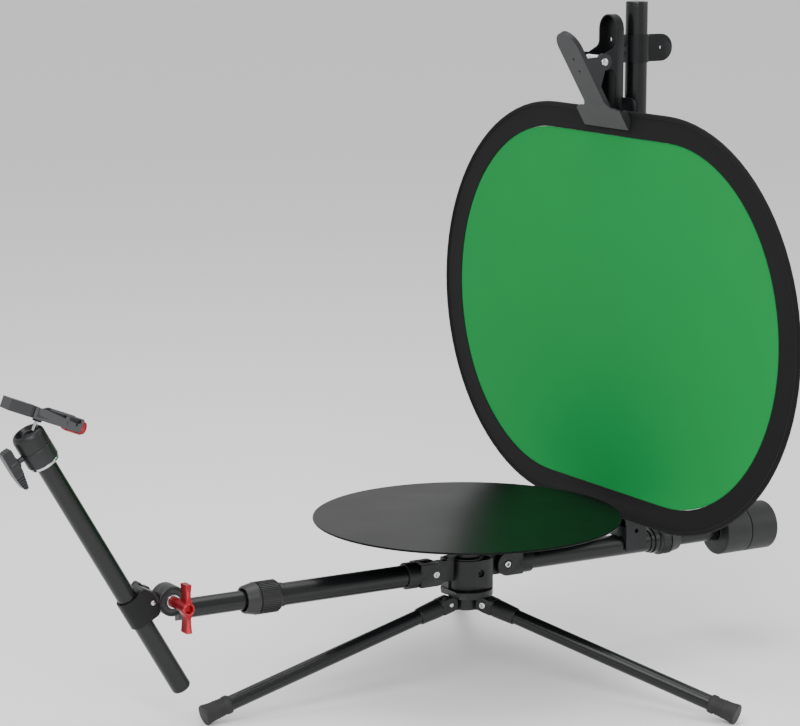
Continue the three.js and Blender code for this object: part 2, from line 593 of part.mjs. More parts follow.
function clipRear() {
  const { x, web, half, top, flange } = REAR;
  const back = x + web;
  const webShape = new THREE.Shape();
  webShape.moveTo(-half, 511);
  webShape.lineTo(half, 511);
  webShape.lineTo(half, top - half);
  webShape.absarc(0, top - half, half, 0, Math.PI, false);
  webShape.closePath();
  const webPlate = plate(webShape, x, back, 10).rotateX(Math.PI / 2).rotateZ(Math.PI / 2);
  const jawShape = outline([[-JAW_HALF, 490], [JAW_HALF, 490], [JAW_HALF, 505], [34, 515], [-34, 515],
    [-JAW_HALF, 505]]);
  const jaw = plate(jawShape, x, back).rotateX(Math.PI / 2).rotateZ(Math.PI / 2);
  const cheek = new THREE.Shape();
  cheek.moveTo(back, 511);
  cheek.lineTo(back, top - half);
  cheek.lineTo(182.5, top - half);
  cheek.lineTo(182.5, 582);
  cheek.lineTo(CLIP.x + 3, CLIP.z + 9);
  cheek.absarc(CLIP.x, CLIP.z, 9.5, 1.25, 4.9, false);
  cheek.lineTo(182.5, 541);
  cheek.lineTo(184, 511);
  const cheeks = [-half, half - flange].map((y) => sidePlate(cheek, y, y + flange, 10));
  const rimOuter = new THREE.Shape();
  rimOuter.absarc(0, top - half, half, 0, Math.PI, false);
  rimOuter.lineTo(-half + flange, top - half);
  rimOuter.absarc(0, top - half, half - flange, Math.PI, 0, true);
  const rim = plate(rimOuter, 182.5, back, 10).rotateX(Math.PI / 2).rotateZ(Math.PI / 2);
  const tongue = box(back - 1, MAST_X - OUTER_R - GAP - 2.4, -1.5, 1.5, BAND.z0 + 2, BAND.z1 - 2);
  const holes = [alongY(rod(3.9, -30, 30, 10)).translate(CLIP.x, 0, CLIP.z),
    alongY(rod(2.3, -30, 30, 8)).translate(MAST_X - 19.6, 0, (BAND.z0 + BAND.z1) / 2),
    alongX(rod(2.6, 180, 196, 8)).translate(0, 6, 585)];
  return cut(join(webPlate, jaw, ...cheeks, rim, tongue), ...holes);
}

// The front arm in its own frame: +Z up the leaning plate, +X towards the rear arm.
function clipFront() {
  const face = -22.8;
  const thick = 1.6;
  const handle = new THREE.Shape();
  handle.moveTo(-20, -50);
  handle.lineTo(20, -50);
  handle.lineTo(20, 30);
  handle.absarc(0, 30, 20, 0, Math.PI, false);
  handle.closePath();
  const jawShape = outline([[-JAW_HALF, -73.6], [JAW_HALF, -73.6], [JAW_HALF, -50], [34, -46], [-34, -46],
    [-JAW_HALF, -50]]);
  const facing = (shape) => plate(shape, face, face + thick, 10).rotateX(Math.PI / 2).rotateZ(Math.PI / 2);
  const lip = box(face, face + 6, -20, -18.4, -47, 30);
  const otherLip = box(face, face + 6, 18.4, 20, -47, 30);
  const cheek = new THREE.Shape();
  cheek.moveTo(face, 18);
  cheek.lineTo(face, -26);
  cheek.lineTo(-4, -9);
  cheek.absarc(0, 0, 9.5, -1.97, 1.97, false);
  const cheeks = [-20, 18.4].map((y) => sidePlate(cheek, y, y + 1.6, 10));
  const wing = outline([[face, -73], [face + 3, -73], [face + 9, -64], [face + 9, -52], [face, -50]]);
  const wings = [-JAW_HALF, JAW_HALF - 1.6].map((y) => sidePlate(wing, y, y + 1.6));
  const holes = [alongY(rod(3.9, -30, 30, 10)), alongX(rod(1.9, -30, -15, 8)).translate(0, 0, 16),
    alongX(rod(1.9, -30, -15, 8)).translate(0, 0, 0)];
  return cut(join(facing(handle), facing(jawShape), lip, otherLip, ...cheeks, ...wings), ...holes);
}

function springClamp() {
  piece(stand, 'clip_rear_arm', 'black_steel', clipRear());
  const front = frameAt(CLIP.x, 0, CLIP.z);
  front.rotation.y = -CLIP_LEAN;
  piece(front, 'clip_front_arm', 'black_steel', clipFront());
  const rivet = turned([[0, -22], [3.4, -22], [4.4, -21.2], [4.4, -20.4], [3.5, -20.4], [3.5, 20.4],
    [4.4, 20.4], [4.4, 21.2], [3.4, 22], [0, 22]], 12);
  piece(stand, 'clip_rivet', 'silver_steel', alongY(rivet).translate(CLIP.x, 0, CLIP.z));
  const coil = sleeve(7.6, 4.6, -13, 13, 16);
  piece(stand, 'clip_spring', 'silver_steel', alongY(coil).translate(CLIP.x, 0, CLIP.z));
}

// ---- backdrop ----
// Straight top and bottom edges with a half ellipse at each end.
function backdropShape({ halfW, halfH, flat }, inset) {
  const shape = new THREE.Shape();
  const reach = halfW - flat - inset;
  shape.moveTo(-flat, -halfH + inset);
  shape.lineTo(flat, -halfH + inset);
  shape.absellipse(flat, 0, reach, halfH - inset, -Math.PI / 2, Math.PI / 2, false, 0);
  shape.lineTo(-flat, halfH - inset);
  shape.absellipse(-flat, 0, reach, halfH - inset, Math.PI / 2, Math.PI * 1.5, false, 0);
  return shape;
}

// The green cloth, and the black border sewn around the sprung hoop.
function backdrop() {
  const upright = (geometry) => geometry.rotateX(Math.PI / 2).rotateZ(Math.PI / 2)
    .translate(BACKDROP.x, 0, BACKDROP.z);
  const hoop = plate(backdropShape(BACKDROP, 0), -3, 3, 20);
  const recess = plate(backdropShape(BACKDROP, 6), 1.3, 5, 20);
  const otherRecess = plate(backdropShape(BACKDROP, 6), -5, -1.3, 20);
  const opening = plate(backdropShape(GREEN, 0), -5, 5, 20);
  piece(stand, 'backdrop_border', 'black_cloth', upright(cut(hoop, recess, otherRecess, opening)));
  piece(stand, 'backdrop_panel', 'green_cloth', upright(plate(backdropShape(GREEN, GAP), -1, 1, 20)));
}

function backdropSide() {
  piece(stand, 'pole_bracket', 'black_steel', poleBracket());
  piece(stand, 'fold_bolt', 'black_steel', foldBolt());
  piece(stand, 'pole_socket', 'black_casting', poleSocket());
  piece(stand, 'backdrop_pole', 'black_tube', backdropPole());
  piece(stand, 'band_front', 'black_steel', bandHalf(-1));
  piece(stand, 'band_rear', 'black_steel', bandHalf(1));
  piece(stand, 'band_bolt', 'black_steel', bandBolt());
}

baseStack();
legs();
hub();
arm('left', -1, LEFT, [[13.4, 188.4, 194.2]]);
arm('right', 1, RIGHT, [[13.8, 198.3, 203.4], [15.2, 203.4, 209.6]]);
cameraSide();
counterweights();
backdropSide();
springClamp();
backdrop();

// Stand the whole object on z = 0, centred over the middle of its own box.
const bounds = new THREE.Box3().setFromObject(stand, true);
stand.position.set(-(bounds.min.x + bounds.max.x) / 2, -(bounds.min.y + bounds.max.y) / 2, -bounds.min.z);

export default stand;
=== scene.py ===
import bpy
from math import asin, atan2, cos, degrees, hypot, pi, radians, sin, sqrt
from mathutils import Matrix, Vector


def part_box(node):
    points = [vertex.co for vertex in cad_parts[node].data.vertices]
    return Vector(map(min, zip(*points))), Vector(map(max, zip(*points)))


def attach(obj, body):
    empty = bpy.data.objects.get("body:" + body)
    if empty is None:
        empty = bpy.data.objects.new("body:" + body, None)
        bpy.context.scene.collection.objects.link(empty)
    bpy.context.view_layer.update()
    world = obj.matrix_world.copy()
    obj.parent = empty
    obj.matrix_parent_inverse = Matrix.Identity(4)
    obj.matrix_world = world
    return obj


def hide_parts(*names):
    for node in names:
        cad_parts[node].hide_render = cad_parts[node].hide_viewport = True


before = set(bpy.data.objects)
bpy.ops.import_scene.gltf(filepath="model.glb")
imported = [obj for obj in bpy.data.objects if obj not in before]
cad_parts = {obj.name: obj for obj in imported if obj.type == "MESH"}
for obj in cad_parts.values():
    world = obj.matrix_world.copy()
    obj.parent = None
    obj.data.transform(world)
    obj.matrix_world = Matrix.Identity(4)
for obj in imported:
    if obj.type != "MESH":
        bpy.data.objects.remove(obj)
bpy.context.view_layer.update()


# ---- Camera, floor and studio light ----
# The stand is seen from its camera side, a little above the platform, with a long lens.
# It stands on a matt white studio floor under four large soft boxes.
HUB_X = (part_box("spindle")[0][0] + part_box("spindle")[1][0]) / 2
ARM_Z = (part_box("left_outer_tube")[0][2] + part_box("left_outer_tube")[1][2]) / 2

VIEW_FROM = (HUB_X - 1.6121, -2.6198, ARM_Z + 0.7876)
VIEW_DOWN, VIEW_TURN = 0.1860295, -0.52842245
bpy.ops.object.camera_add(location=VIEW_FROM, rotation=(pi / 2 - VIEW_DOWN, 0, VIEW_TURN))
camera = bpy.context.object
camera.data.lens = 126.53
camera.data.shift_x, camera.data.shift_y = -0.0042, 0.0274
camera.data.clip_end = 50
bpy.context.scene.camera = camera


def linear(code):
    """The linear colour of an sRGB hex value."""
    parts = [int(code[i:i + 2], 16) / 255 for i in (0, 2, 4)]
    return tuple(c / 12.92 if c <= 0.04045 else ((c + 0.055) / 1.055) ** 2.4 for c in parts) + (1,)


def add_node(material, kind, settings=None, inputs=None):
    """One node with its settings, and its inputs as values or as other nodes' outputs."""
    tree = material.node_tree
    new = tree.nodes.new(kind)
    for name, value in (settings or {}).items():
        setattr(new, name, value)
    for name, value in (inputs or {}).items():
        if isinstance(value, bpy.types.NodeSocket):
            tree.links.new(value, new.inputs[name])
        else:
            new.inputs[name].default_value = value
    return new


def new_finish(name):
    """An empty material, its surface shader and its output."""
    material = bpy.data.materials.new(name)
    material.use_nodes = True
    material.node_tree.nodes.clear()
    surface = add_node(material, "ShaderNodeBsdfPrincipled")
    add_node(material, "ShaderNodeOutputMaterial", None, {"Surface": surface.outputs[0]})
    return material, surface


def set_surface(material, surface, **inputs):
    """Sets or links the shader's own sockets, with _ for the spaces in their names."""
    for name, value in inputs.items():
        socket = surface.inputs[name.replace("_", " ")]
        if isinstance(value, bpy.types.NodeSocket):
            material.node_tree.links.new(value, socket)
        else:
            socket.default_value = value


bpy.ops.mesh.primitive_plane_add(size=60, location=(0, 20, 0))
floor = bpy.context.object
floor.name = "studio_floor"
floor_paint, surface = new_finish("matt_white_floor")
set_surface(floor_paint, surface, Base_Color=linear("f8f8f8"), Roughness=0.75)
floor.data.materials.append(floor_paint)

world = bpy.context.scene.world or bpy.data.worlds.new("studio")
bpy.context.scene.world = world
world.use_nodes = True
sky = next(n for n in world.node_tree.nodes if n.type == "BACKGROUND")
sky.inputs["Color"].default_value = linear("ffffff")
sky.inputs["Strength"].default_value = 0.85

for name, place_at, turn, size, power in (
        ("key_box", (-1.9, -1.2, 2.3), (radians(48), 0, radians(-58)), 1.6, 38),
        ("top_box", (0.2, 0.2, 2.8), (0, 0, 0), 2.2, 40),
        ("front_box", (-1.1, -2.5, 1.7), (radians(60), 0, radians(-24)), 1.0, 34),
        ("fill_box", (2.4, -1.6, 1.4), (radians(66), 0, radians(56)), 1.6, 14)):
    bpy.ops.object.light_add(type="AREA", location=place_at, rotation=turn)
    light = bpy.context.object
    light.name = name
    light.data.shape = "SQUARE"
    light.data.size = size
    light.data.energy = power


# ---- Base casting ----
# The fixed centre of the stand: a die-cast aluminium boss with three leg lugs, drilled for the
# leg screws and finished in black powder coat.
def line(name, points):
    """A line of points in mm, drawn by extruding one vertex; it is left in edit mode."""
    bpy.ops.object.select_all(action="DESELECT")
    bpy.ops.mesh.primitive_plane_add(size=0.001, location=(0, 0, 0))
    piece = bpy.context.object
    piece.name = name
    bpy.ops.object.mode_set(mode="EDIT")
    bpy.ops.mesh.merge(type="CENTER")
    bpy.ops.transform.translate(value=[c / 1000 for c in points[0]])
    for here, there in zip(points, points[1:]):
        step = [(b - a) / 1000 for a, b in zip(here, there)]
        bpy.ops.mesh.extrude_region_move(TRANSFORM_OT_translate={"value": step})
    return piece


def faces_out():
    """Points all faces of the piece being edited outwards, and leaves edit mode."""
    bpy.ops.mesh.select_all(action="SELECT")
    bpy.ops.mesh.normals_make_consistent(inside=False)
    bpy.ops.object.mode_set(mode="OBJECT")


def turned(name, profile, steps=64):
    """A profile of (radius, height) points in mm, spun about Z."""
    piece = line(name, [(r, 0, z) for r, z in profile])
    bpy.ops.mesh.select_all(action="SELECT")
    bpy.ops.mesh.spin(steps=steps, angle=2 * pi, center=(0, 0, 0), axis=(0, 0, 1))
    bpy.ops.mesh.select_all(action="SELECT")
    bpy.ops.mesh.remove_doubles(threshold=1e-6)
    faces_out()
    return piece


def rod(r, low, high, steps):
    """A plain round tool along Z, in mm."""
    return turned("rod", [(0, low), (r, low), (r, high), (0, high)], steps)


def plate(name, outline, low, high, facing="Y"):
    """A flat outline in mm, filled and extruded along the axis that it faces."""
    spread = {"X": lambda a, b: (low, a, b), "Y": lambda a, b: (a, low, b),
              "Z": lambda a, b: (a, b, low)}[facing]
    piece = line(name, [spread(a, b) for a, b in outline])
    bpy.ops.mesh.select_all(action="SELECT")
    bpy.ops.mesh.edge_face_add()
    step = {"X": (1, 0, 0), "Y": (0, 1, 0), "Z": (0, 0, 1)}[facing]
    bpy.ops.mesh.extrude_region_move(
        TRANSFORM_OT_translate={"value": [c * (high - low) / 1000 for c in step]})
    faces_out()
    return piece


def arc(x, y, r, start, end, count=12):
    """Points of an arc, in mm and degrees."""
    angles = [radians(start + (end - start) * i / count) for i in range(count + 1)]
    return [(x + r * cos(a), y + r * sin(a)) for a in angles]


def only(piece):
    """Selects one piece and nothing else."""
    bpy.ops.object.select_all(action="DESELECT")
    piece.select_set(True)
    bpy.context.view_layer.objects.active = piece


def place(piece, at=(0, 0, 0), lean=(0, 0, 0)):
    """Turns a piece by degrees and moves it by mm, all in its mesh."""
    only(piece)
    piece.rotation_euler = [radians(c) for c in lean]
    piece.location = [c / 1000 for c in at]
    bpy.ops.object.transform_apply(location=True, rotation=True, scale=True)
    return piece


def shaped(piece, kind, **settings):
    """Puts a modifier on a piece and applies it."""
    only(piece)
    modifier = piece.modifiers.new(kind.lower(), kind)
    for name, value in settings.items():
        setattr(modifier, name, value)
    bpy.ops.object.modifier_apply(modifier=modifier.name)
    return piece


def joined(piece, *others, how="UNION"):
    """Adds other solids to a piece, or takes them away, and clears them."""
    for other in others:
        shaped(piece, "BOOLEAN", operation=how, solver="EXACT", object=other)
        bpy.data.objects.remove(other)
    return piece


def drilled(piece, *tools):
    return joined(piece, *tools, how="DIFFERENCE")


def eased(piece, width=0.5, segments=2, angle=38):
    """Rounds the edges of a piece by a width in mm."""
    return shaped(piece, "BEVEL", width=width / 1000, segments=segments, limit_method="ANGLE",
                  angle_limit=radians(angle), use_clamp_overlap=True, harden_normals=False)


def copied(piece, name):
    """A copy with its own mesh."""
    twin = piece.copy()
    twin.data = piece.data.copy()
    twin.name = name
    bpy.context.collection.objects.link(twin)
    return twin


def fitted(piece, body, nodes, material, smooth=32):
    """Moves a piece from the arms' frame onto the stand, ties it to its body and hides the CAD nodes that it
    stands for.
    """
    place(piece, (HUB_X * 1000, 0, ARM_Z * 1000))
    bpy.ops.object.shade_smooth_by_angle(angle=radians(smooth))
    shaped(piece, "WEIGHTED_NORMAL", keep_sharp=True)
    piece.data.materials.clear()
    piece.data.materials.append(material)
    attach(piece, body)
    if nodes:
        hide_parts(*nodes)
    return piece


def coated(name, colour, grain, cloud, lift, rough, bump, ior=1.5, metal=0.0, worn=None):
    """A finish with a fine grain, slow changes of tone and gloss, and rubbed edges where worn.

    The grain and the cloud are noises, each a scale and a detail. The bump is a strength and a
    height in metres. Worn edges have two edge values, a most and a bare colour.
    """
    material, surface = new_finish(name)
    where = add_node(material, "ShaderNodeTexCoord").outputs["Object"]
    grain, cloud = [add_node(material, "ShaderNodeTexNoise", None,
                             {"Vector": where, "Scale": scale, "Detail": detail}).outputs["Fac"]
                    for scale, detail in (grain, cloud)]
    tone = add_node(material, "ShaderNodeMix", {"data_type": "RGBA"}, {
        "Factor": cloud, "A": colour, "B": tuple(c * lift for c in colour[:3]) + (1,)}).outputs["Result"]
    if worn:
        edge = add_node(material, "ShaderNodeNewGeometry").outputs["Pointiness"]
        rubbed = add_node(material, "ShaderNodeMapRange", None,
                          {"Value": edge, "From Min": worn[0], "From Max": worn[1], "To Max": worn[2]})
        tone = add_node(material, "ShaderNodeMix", {"data_type": "RGBA"}, {
            "Factor": rubbed.outputs["Result"], "A": tone, "B": worn[3]}).outputs["Result"]
    # A machined metal's gloss follows its marks, and a coat's follows its cloud.
    gloss = add_node(material, "ShaderNodeMapRange", None,
                     {"Value": grain if metal else cloud, "To Min": rough[0], "To Max": rough[1]})
    relief = add_node(material, "ShaderNodeBump", None,
                      {"Height": grain, "Strength": bump[0], "Distance": bump[1]})
    set_surface(material, surface, Base_Color=tone, Roughness=gloss.outputs["Result"],
                Normal=relief.outputs["Normal"], IOR=ior, Metallic=metal)
    return material


# Baked powder coat: satin, with slightly worn edges and a fine orange peel. The real peel is about
# 0.3 mm; it is drawn at 0.8 mm so that it shows.
casting_black = coated("black_powder_coat", linear("101112"), (1250.0, 2.0), (60.0, 4.0), 1.45,
                       (0.32, 0.46), (0.3, 0.00009), 1.42, worn=(0.53, 0.62, 0.35, linear("3c3d3f")))
LUG_HALF = 4
POST_BORE, PIN_BORE, TUBE_BORE = 8.3, 3.3, 12.8
LEG_TURNS = (180, -60, 60)
LEG_RHO, LEG_Z, LEG_DROOP = 25, -39, 15.1
boss = turned("base_boss", [(0, -47), (13.3, -47), (14.5, -45.8), (14.5, -32), (13.8, -31.3), (0, -31.3)], 72)
for turn in LEG_TURNS:
    lug = plate("lug", [(0, LEG_Z - 8)] + arc(LEG_RHO, LEG_Z, 8, -90, 90, 20) + [(0, LEG_Z + 7.7)],
                -LUG_HALF, LUG_HALF)
    hole = place(rod(2.8, -9, 9, 24), (LEG_RHO, 0, LEG_Z), (90, 0, 0))
    boss = joined(boss, place(drilled(lug, hole), lean=(0, 0, turn)))
drilled(boss, rod(POST_BORE, -60, 0, 40))
eased(boss, 0.5, 2)
fitted(boss, "base", ["spider"], casting_black)


# ---- Bearing plate and spindle ----
# The hub turns on a fixed aluminium plate, milled flat under the camera arm and scalloped under
# its edge for the folding legs, about a ground steel spindle pressed into the base casting.
def plated_steel(name, colour, low=0.14, high=0.26):
    """Bright nickel plate: smooth metal with faint handling smears."""
    material, surface = new_finish(name)
    where = add_node(material, "ShaderNodeTexCoord").outputs["Object"]
    smear = add_node(material, "ShaderNodeTexNoise", None,
                     {"Vector": where, "Scale": 180.0, "Detail": 5.0, "Distortion": 0.6})
    rough = add_node(material, "ShaderNodeMapRange", None,
                     {"Value": smear.outputs["Fac"], "To Min": low, "To Max": high})
    tone = add_node(material, "ShaderNodeMix", {"data_type": "RGBA"}, {
        "Factor": smear.outputs["Fac"], "A": colour, "B": tuple(c * 0.8 for c in colour[:3]) + (1,)})
    set_surface(material, surface, Base_Color=tone.outputs["Result"], Metallic=1.0,
                Roughness=rough.outputs["Result"])
    return material


nickel = plated_steel("nickel_plated_steel", linear("cfd0d2"))
bearing = turned("bearing_disc", [(8.3, -31), (28.7, -31), (29.4, -30.7), (29.7, -30), (29.7, -23.8),
                                  (29.4, -23.1), (28.7, -22.9), (8.3, -22.9), (8.3, -31)], 96)
drilled(bearing, plate("flat", [(-40, -40), (-22, -40), (-22, -27.4), (-24, -26.8), (-24, 0), (-40, 0)],
                       -30, 30))
for turn in LEG_TURNS:
    scallop = place(rod(9, -10.2, 10.2, 48), lean=(90, 0, 0))
    drilled(bearing, place(place(scallop, (LEG_RHO, 0, LEG_Z)), lean=(0, 0, turn)))
eased(bearing, 0.4, 2)
fitted(bearing, "base", ["bearing_plate"], casting_black)

post = turned("hub_spindle", [(0, -46), (7.2, -46), (8, -45.2), (8, 31), (7, 32), (0, 32)], 48)
fitted(post, "base", ["spindle"], nickel)


# ---- Legs ----
# Each leg is a drawn aluminium tube glued into a die-cast fork, which folds on a socket-head
# screw, with a moulded rubber foot pressed over its end.
def anodised_tube(name, colour, turn):
    """Black dyed anodising on a drawn tube: fine streaks run along it."""
    material, surface = new_finish(name)
    where = add_node(material, "ShaderNodeTexCoord").outputs["Object"]
    # X of the turned pattern lies along the tube: marks 0.6 mm wide and some 40 mm long.
    along = add_node(material, "ShaderNodeMapping", None,
                     {"Vector": where, "Rotation": [radians(c) for c in turn], "Scale": (22, 1600, 1600)})
    streak = add_node(material, "ShaderNodeTexNoise", None,
                      {"Vector": along.outputs["Vector"], "Scale": 1.0, "Detail": 3.0})
    cloud = add_node(material, "ShaderNodeTexNoise", None, {"Vector": where, "Scale": 45.0, "Detail": 4.0})
    rough = add_node(material, "ShaderNodeMapRange", None,
                     {"Value": streak.outputs["Fac"], "To Min": 0.2, "To Max": 0.32})
    tone = add_node(material, "ShaderNodeMix", {"data_type": "RGBA"}, {
        "Factor": cloud.outputs["Fac"], "A": colour, "B": tuple(c * 1.5 for c in colour[:3]) + (1,)})
    bump = add_node(material, "ShaderNodeBump", None,
                    {"Height": streak.outputs["Fac"], "Strength": 0.12, "Distance": 0.00003})
    set_surface(material, surface, Base_Color=tone.outputs["Result"], Roughness=rough.outputs["Result"],
                Normal=bump.outputs["Normal"], IOR=1.42)
    return material


def moulded(name, colour, rough):
    """Moulded rubber or nylon: matt, with a fine spark-eroded grain and a little grey bloom."""
    return coated(name, colour, (1500.0, 2.0), (90.0, 5.0), 1.7, rough, (0.3, 0.00008), 1.52)


rubber_black = moulded("black_rubber", linear("0e0e0f"), (0.55, 0.75))
LEG_R, LEG_LENGTH = 8.4, 318


def socket_screw(name, head, height, shank, length):
    """A screw along +Z with its head above 0 and a hexagon socket."""
    screw = turned(name, [(0, -length), (shank - 0.4, -length), (shank, 0.4 - length), (shank, 0), (head, 0),
                          (head, height - 0.7), (head - 0.25, height - 0.25), (head - 0.7, height),
                          (0, height)], 48)
    drilled(screw, rod(head * 0.5, height - 2.2, height + 1, 6))
    return eased(screw, 0.12, 1, 50)


fork = joined(
    plate("leg_fork", arc(0, 0, 8, 90, 270, 20) + [(12, -8), (12, 8)], -9.2, 9.2),
    place(turned("socket", [(0, 11), (9.6, 11), (10.5, 12), (10.5, 19), (9.7, 38.2), (9.2, 39), (0, 39)], 48),
          lean=(0, 90, 0)))
drilled(fork, plate("slot", arc(-2.8, 0, 12, 90, 270, 8) + [(9.2, -12), (9.2, 12)], -LUG_HALF - 0.3,
                    LUG_HALF + 0.3),
        place(rod(2.8, -12, 12, 24), lean=(90, 0, 0)),
        place(rod(4.6, 9, 14, 32), lean=(90, 0, 0)),
        place(rod(LEG_R + 0.3, 19, 50, 48), lean=(0, 90, 0)))
eased(fork, 0.6, 2)
tube = place(turned("leg", [(7.2, 19.5), (LEG_R, 19.5), (LEG_R, LEG_LENGTH - 12), (7.2, LEG_LENGTH - 12),
                            (7.2, 19.5)], 56),
             lean=(0, 90, 0))
foot = turned("foot", [(LEG_R + 0.05, -33), (9.2, -33), (10, -32.4), (10.4, -31.2), (10.4, -27), (9.9, -26),
                       (9.5, -25.2), (9.4, -23.4), (10, -22.8), (9.6, -22), (9.5, -20.2), (10.2, -19.6),
                       (9.8, -18.8), (9.8, -17), (10.5, -16.4), (10.1, -15.6), (10.4, -9), (11.3, -3),
                       (11.5, -1.4), (11, -0.4), (10, 0), (0, 0),
                       (0, -11.5), (LEG_R + 0.05, -11.5), (LEG_R + 0.05, -33)], 56)
place(foot, (0, 0, LEG_LENGTH))
place(foot, lean=(0, 90, 0))
screw = place(socket_screw("screw", 3.9, 1.6, 2.5, 18.6), (0, -9.2, 0), (90, 0, 0))
for number, turn in enumerate(LEG_TURNS, 1):
    along = anodised_tube(f"black_anodised_leg_{number}", linear("0c0d0e"), (0, -LEG_DROOP, -turn))
    for part, finish, slot, smooth in ((fork, casting_black, "black_casting", 32),
                                       (tube, along, "black_tube", 40),
                                       (foot, rubber_black, "black_rubber", 40),
                                       (screw, nickel, "silver_steel", 32)):
        leg_part = copied(part, f"{part.name}_of_leg_{number}")
        if part is screw and turn == 60:
            place(leg_part, lean=(0, 0, 180))
        place(leg_part, (LEG_RHO, 0, LEG_Z), (0, LEG_DROOP, 0))
        place(leg_part, lean=(0, 0, turn))
        node = {fork: "leg_casting", tube: "leg_tube", foot: "leg_foot", screw: "leg_screw"}[part]
        fitted(leg_part, f"leg_{number}", [f"{node}_{number}"], finish, smooth)
for part in (fork, tube, foot, screw):
    bpy.data.objects.remove(part)


# ---- Platform ----
# A flat steel disc, spray painted in satin charcoal, screwed to the flange of a cast column
# that stands on the spindle. It doesn't turn.
DISC_TOP, DISC_LOW, DISC_R = 59.6, 57.3, 173.4
# Sprayed satin paint: a faint orange peel and slow changes of gloss over the flat steel.
disc_paint = coated("satin_charcoal_paint", linear("0b0c0d"), (420.0, 2.0), (14.0, 6.0), 1.25,
                    (0.24, 0.34), (0.08, 0.0001), 1.18)
disc = turned("platform", [(0, DISC_LOW), (DISC_R - 0.7, DISC_LOW), (DISC_R - 0.2, DISC_LOW + 0.3),
                           (DISC_R, DISC_LOW + 0.8), (DISC_R, DISC_TOP - 0.8),
                           (DISC_R - 0.2, DISC_TOP - 0.25), (DISC_R - 0.8, DISC_TOP), (0, DISC_TOP)], 192)
fitted(disc, "base", ["platform_disc"], disc_paint)

column = turned("platform_post", [(0, 11.4), (19.2, 11.4), (19.8, 12), (19.8, 12.9), (19.3, 13.4),
                                  (16.2, 13.5), (15, 14), (14.5, 15.2), (14.5, 48), (15.4, 50.5), (18, 52),
                                  (27, 53), (28, 54), (28, 56.6), (27.6, 57), (0, 57)], 72)
drilled(column, rod(POST_BORE, 0, 32.5, 40))
for turn in (45, 135, 225, 315):
    bolt_hole = turned("hole", [(0, 40), (4, 40), (4, 54.8), (1.6, 54.8), (1.6, 60), (0, 60)], 24)
    drilled(column, place(place(bolt_hole, (22.5, 0, 0)), lean=(0, 0, turn)))
fitted(column, "base", ["platform_column"], casting_black)


# ---- Hub ----
# The turning centre: a die-cast block around the spindle, with a thin lug to each side for the
# arms, a brake screw in its front and a raised rib over the lugs.
PIVOT_X = 47
HUB_LUG = 5
hub_plan = ([(0, -20.6), (15.4, -20.6), (25, -16), (25, 20), (-23, 20), (-23, 2)]
            + arc(0, 0, 20.6, 174.4, 270, 28)[:-1])
hub = plate("hub_block", hub_plan, -22.6, 11, "Z")
for turn in (0, 180):
    lug = plate("lug", [(0, -12)] + arc(PIVOT_X, 0, 12, -90, 90, 24) + [(0, 12)], -HUB_LUG, HUB_LUG)
    hole = place(rod(PIN_BORE, -20, 20, 32), (PIVOT_X, 0, 0), (90, 0, 0))
    joined(hub, place(drilled(lug, hole), lean=(0, 0, turn)))
joined(hub, plate("rib", [(-29, 9), (29, 9), (29, 14), (27, 16), (-27, 16), (-29, 14)], -HUB_LUG, HUB_LUG))
drilled(hub, rod(POST_BORE, -60, 60, 48),
        rod(20.1, 11.1, 40, 64),
        place(rod(4.2, 14, 30, 40), (6.5, 0, -4), (90, 0, 0)))
eased(hub, 0.7, 3)
fitted(hub, "hub", ["hub_body"], casting_black)

brake = turned("hub_brake_screw", [(0, 14.2), (3.9, 14.2), (3.9, 16.9), (3.4, 17.5), (0, 17.5)], 32)
drilled(brake, rod(1.7, 15.4, 19, 6))
black_oxide = plated_steel("black_oxide_steel", linear("3a3b3d"), 0.32, 0.5)
fitted(place(brake, (6.5, 0, -4), (90, 0, 0)), "hub", ["hub_set_screw"], black_oxide)


# ---- Arm forks ----
# Each arm starts in a cast fork whose two cheeks straddle the hub's lug. A socket-head screw
# clamps them, and the tube is glued into the fork's round sleeve.
arm_fork = joined(
    plate("arm_fork", arc(0, 0, 13.3, 90, 270, 32) + [(20, -13.3), (20, 13.3)], -13, 13),
    place(turned("sleeve", [(0, 16), (13.3, 16), (15, 21), (15, 34.3), (14.5, 35), (13.9, 35.3), (0, 35.3)],
                 72),
          lean=(0, 90, 0)))
keep = place(rod(18.2, -20, 60, 72), lean=(0, 90, 0))
joined(arm_fork, keep, how="INTERSECT")
drilled(arm_fork,
        plate("slot", [(-20, -20), (13.2, -20), (13.2, 20), (-20, 20)], -HUB_LUG - 0.3, HUB_LUG + 0.3),
        place(rod(PIN_BORE, -20, 20, 32), lean=(90, 0, 0)),
        place(rod(5.1, 11.4, 20, 40), lean=(90, 0, 0)),
        place(rod(TUBE_BORE, 17, 60, 64), lean=(0, 90, 0)))
eased(arm_fork, 0.6, 2)
arm_screw = place(socket_screw("arm_screw", 4, 2, 3, 24), (0, -11.4, 0), (90, 0, 0))
for side, turn, x in (("left", 180, -PIVOT_X), ("right", 0, PIVOT_X)):
    fork_piece = place(copied(arm_fork, f"{side}_fork"), (x, 0, 0), (0, 0, turn))
    fitted(fork_piece, f"{side}_arm", [f"{side}_arm_casting"], casting_black)
    screw_piece = place(copied(arm_screw, f"{side}_fork_screw"), (x, 0, 0))
    fitted(screw_piece, f"{side}_arm", [f"{side}_arm_screw"], nickel)
for part in (arm_fork, arm_screw):
    bpy.data.objects.remove(part)


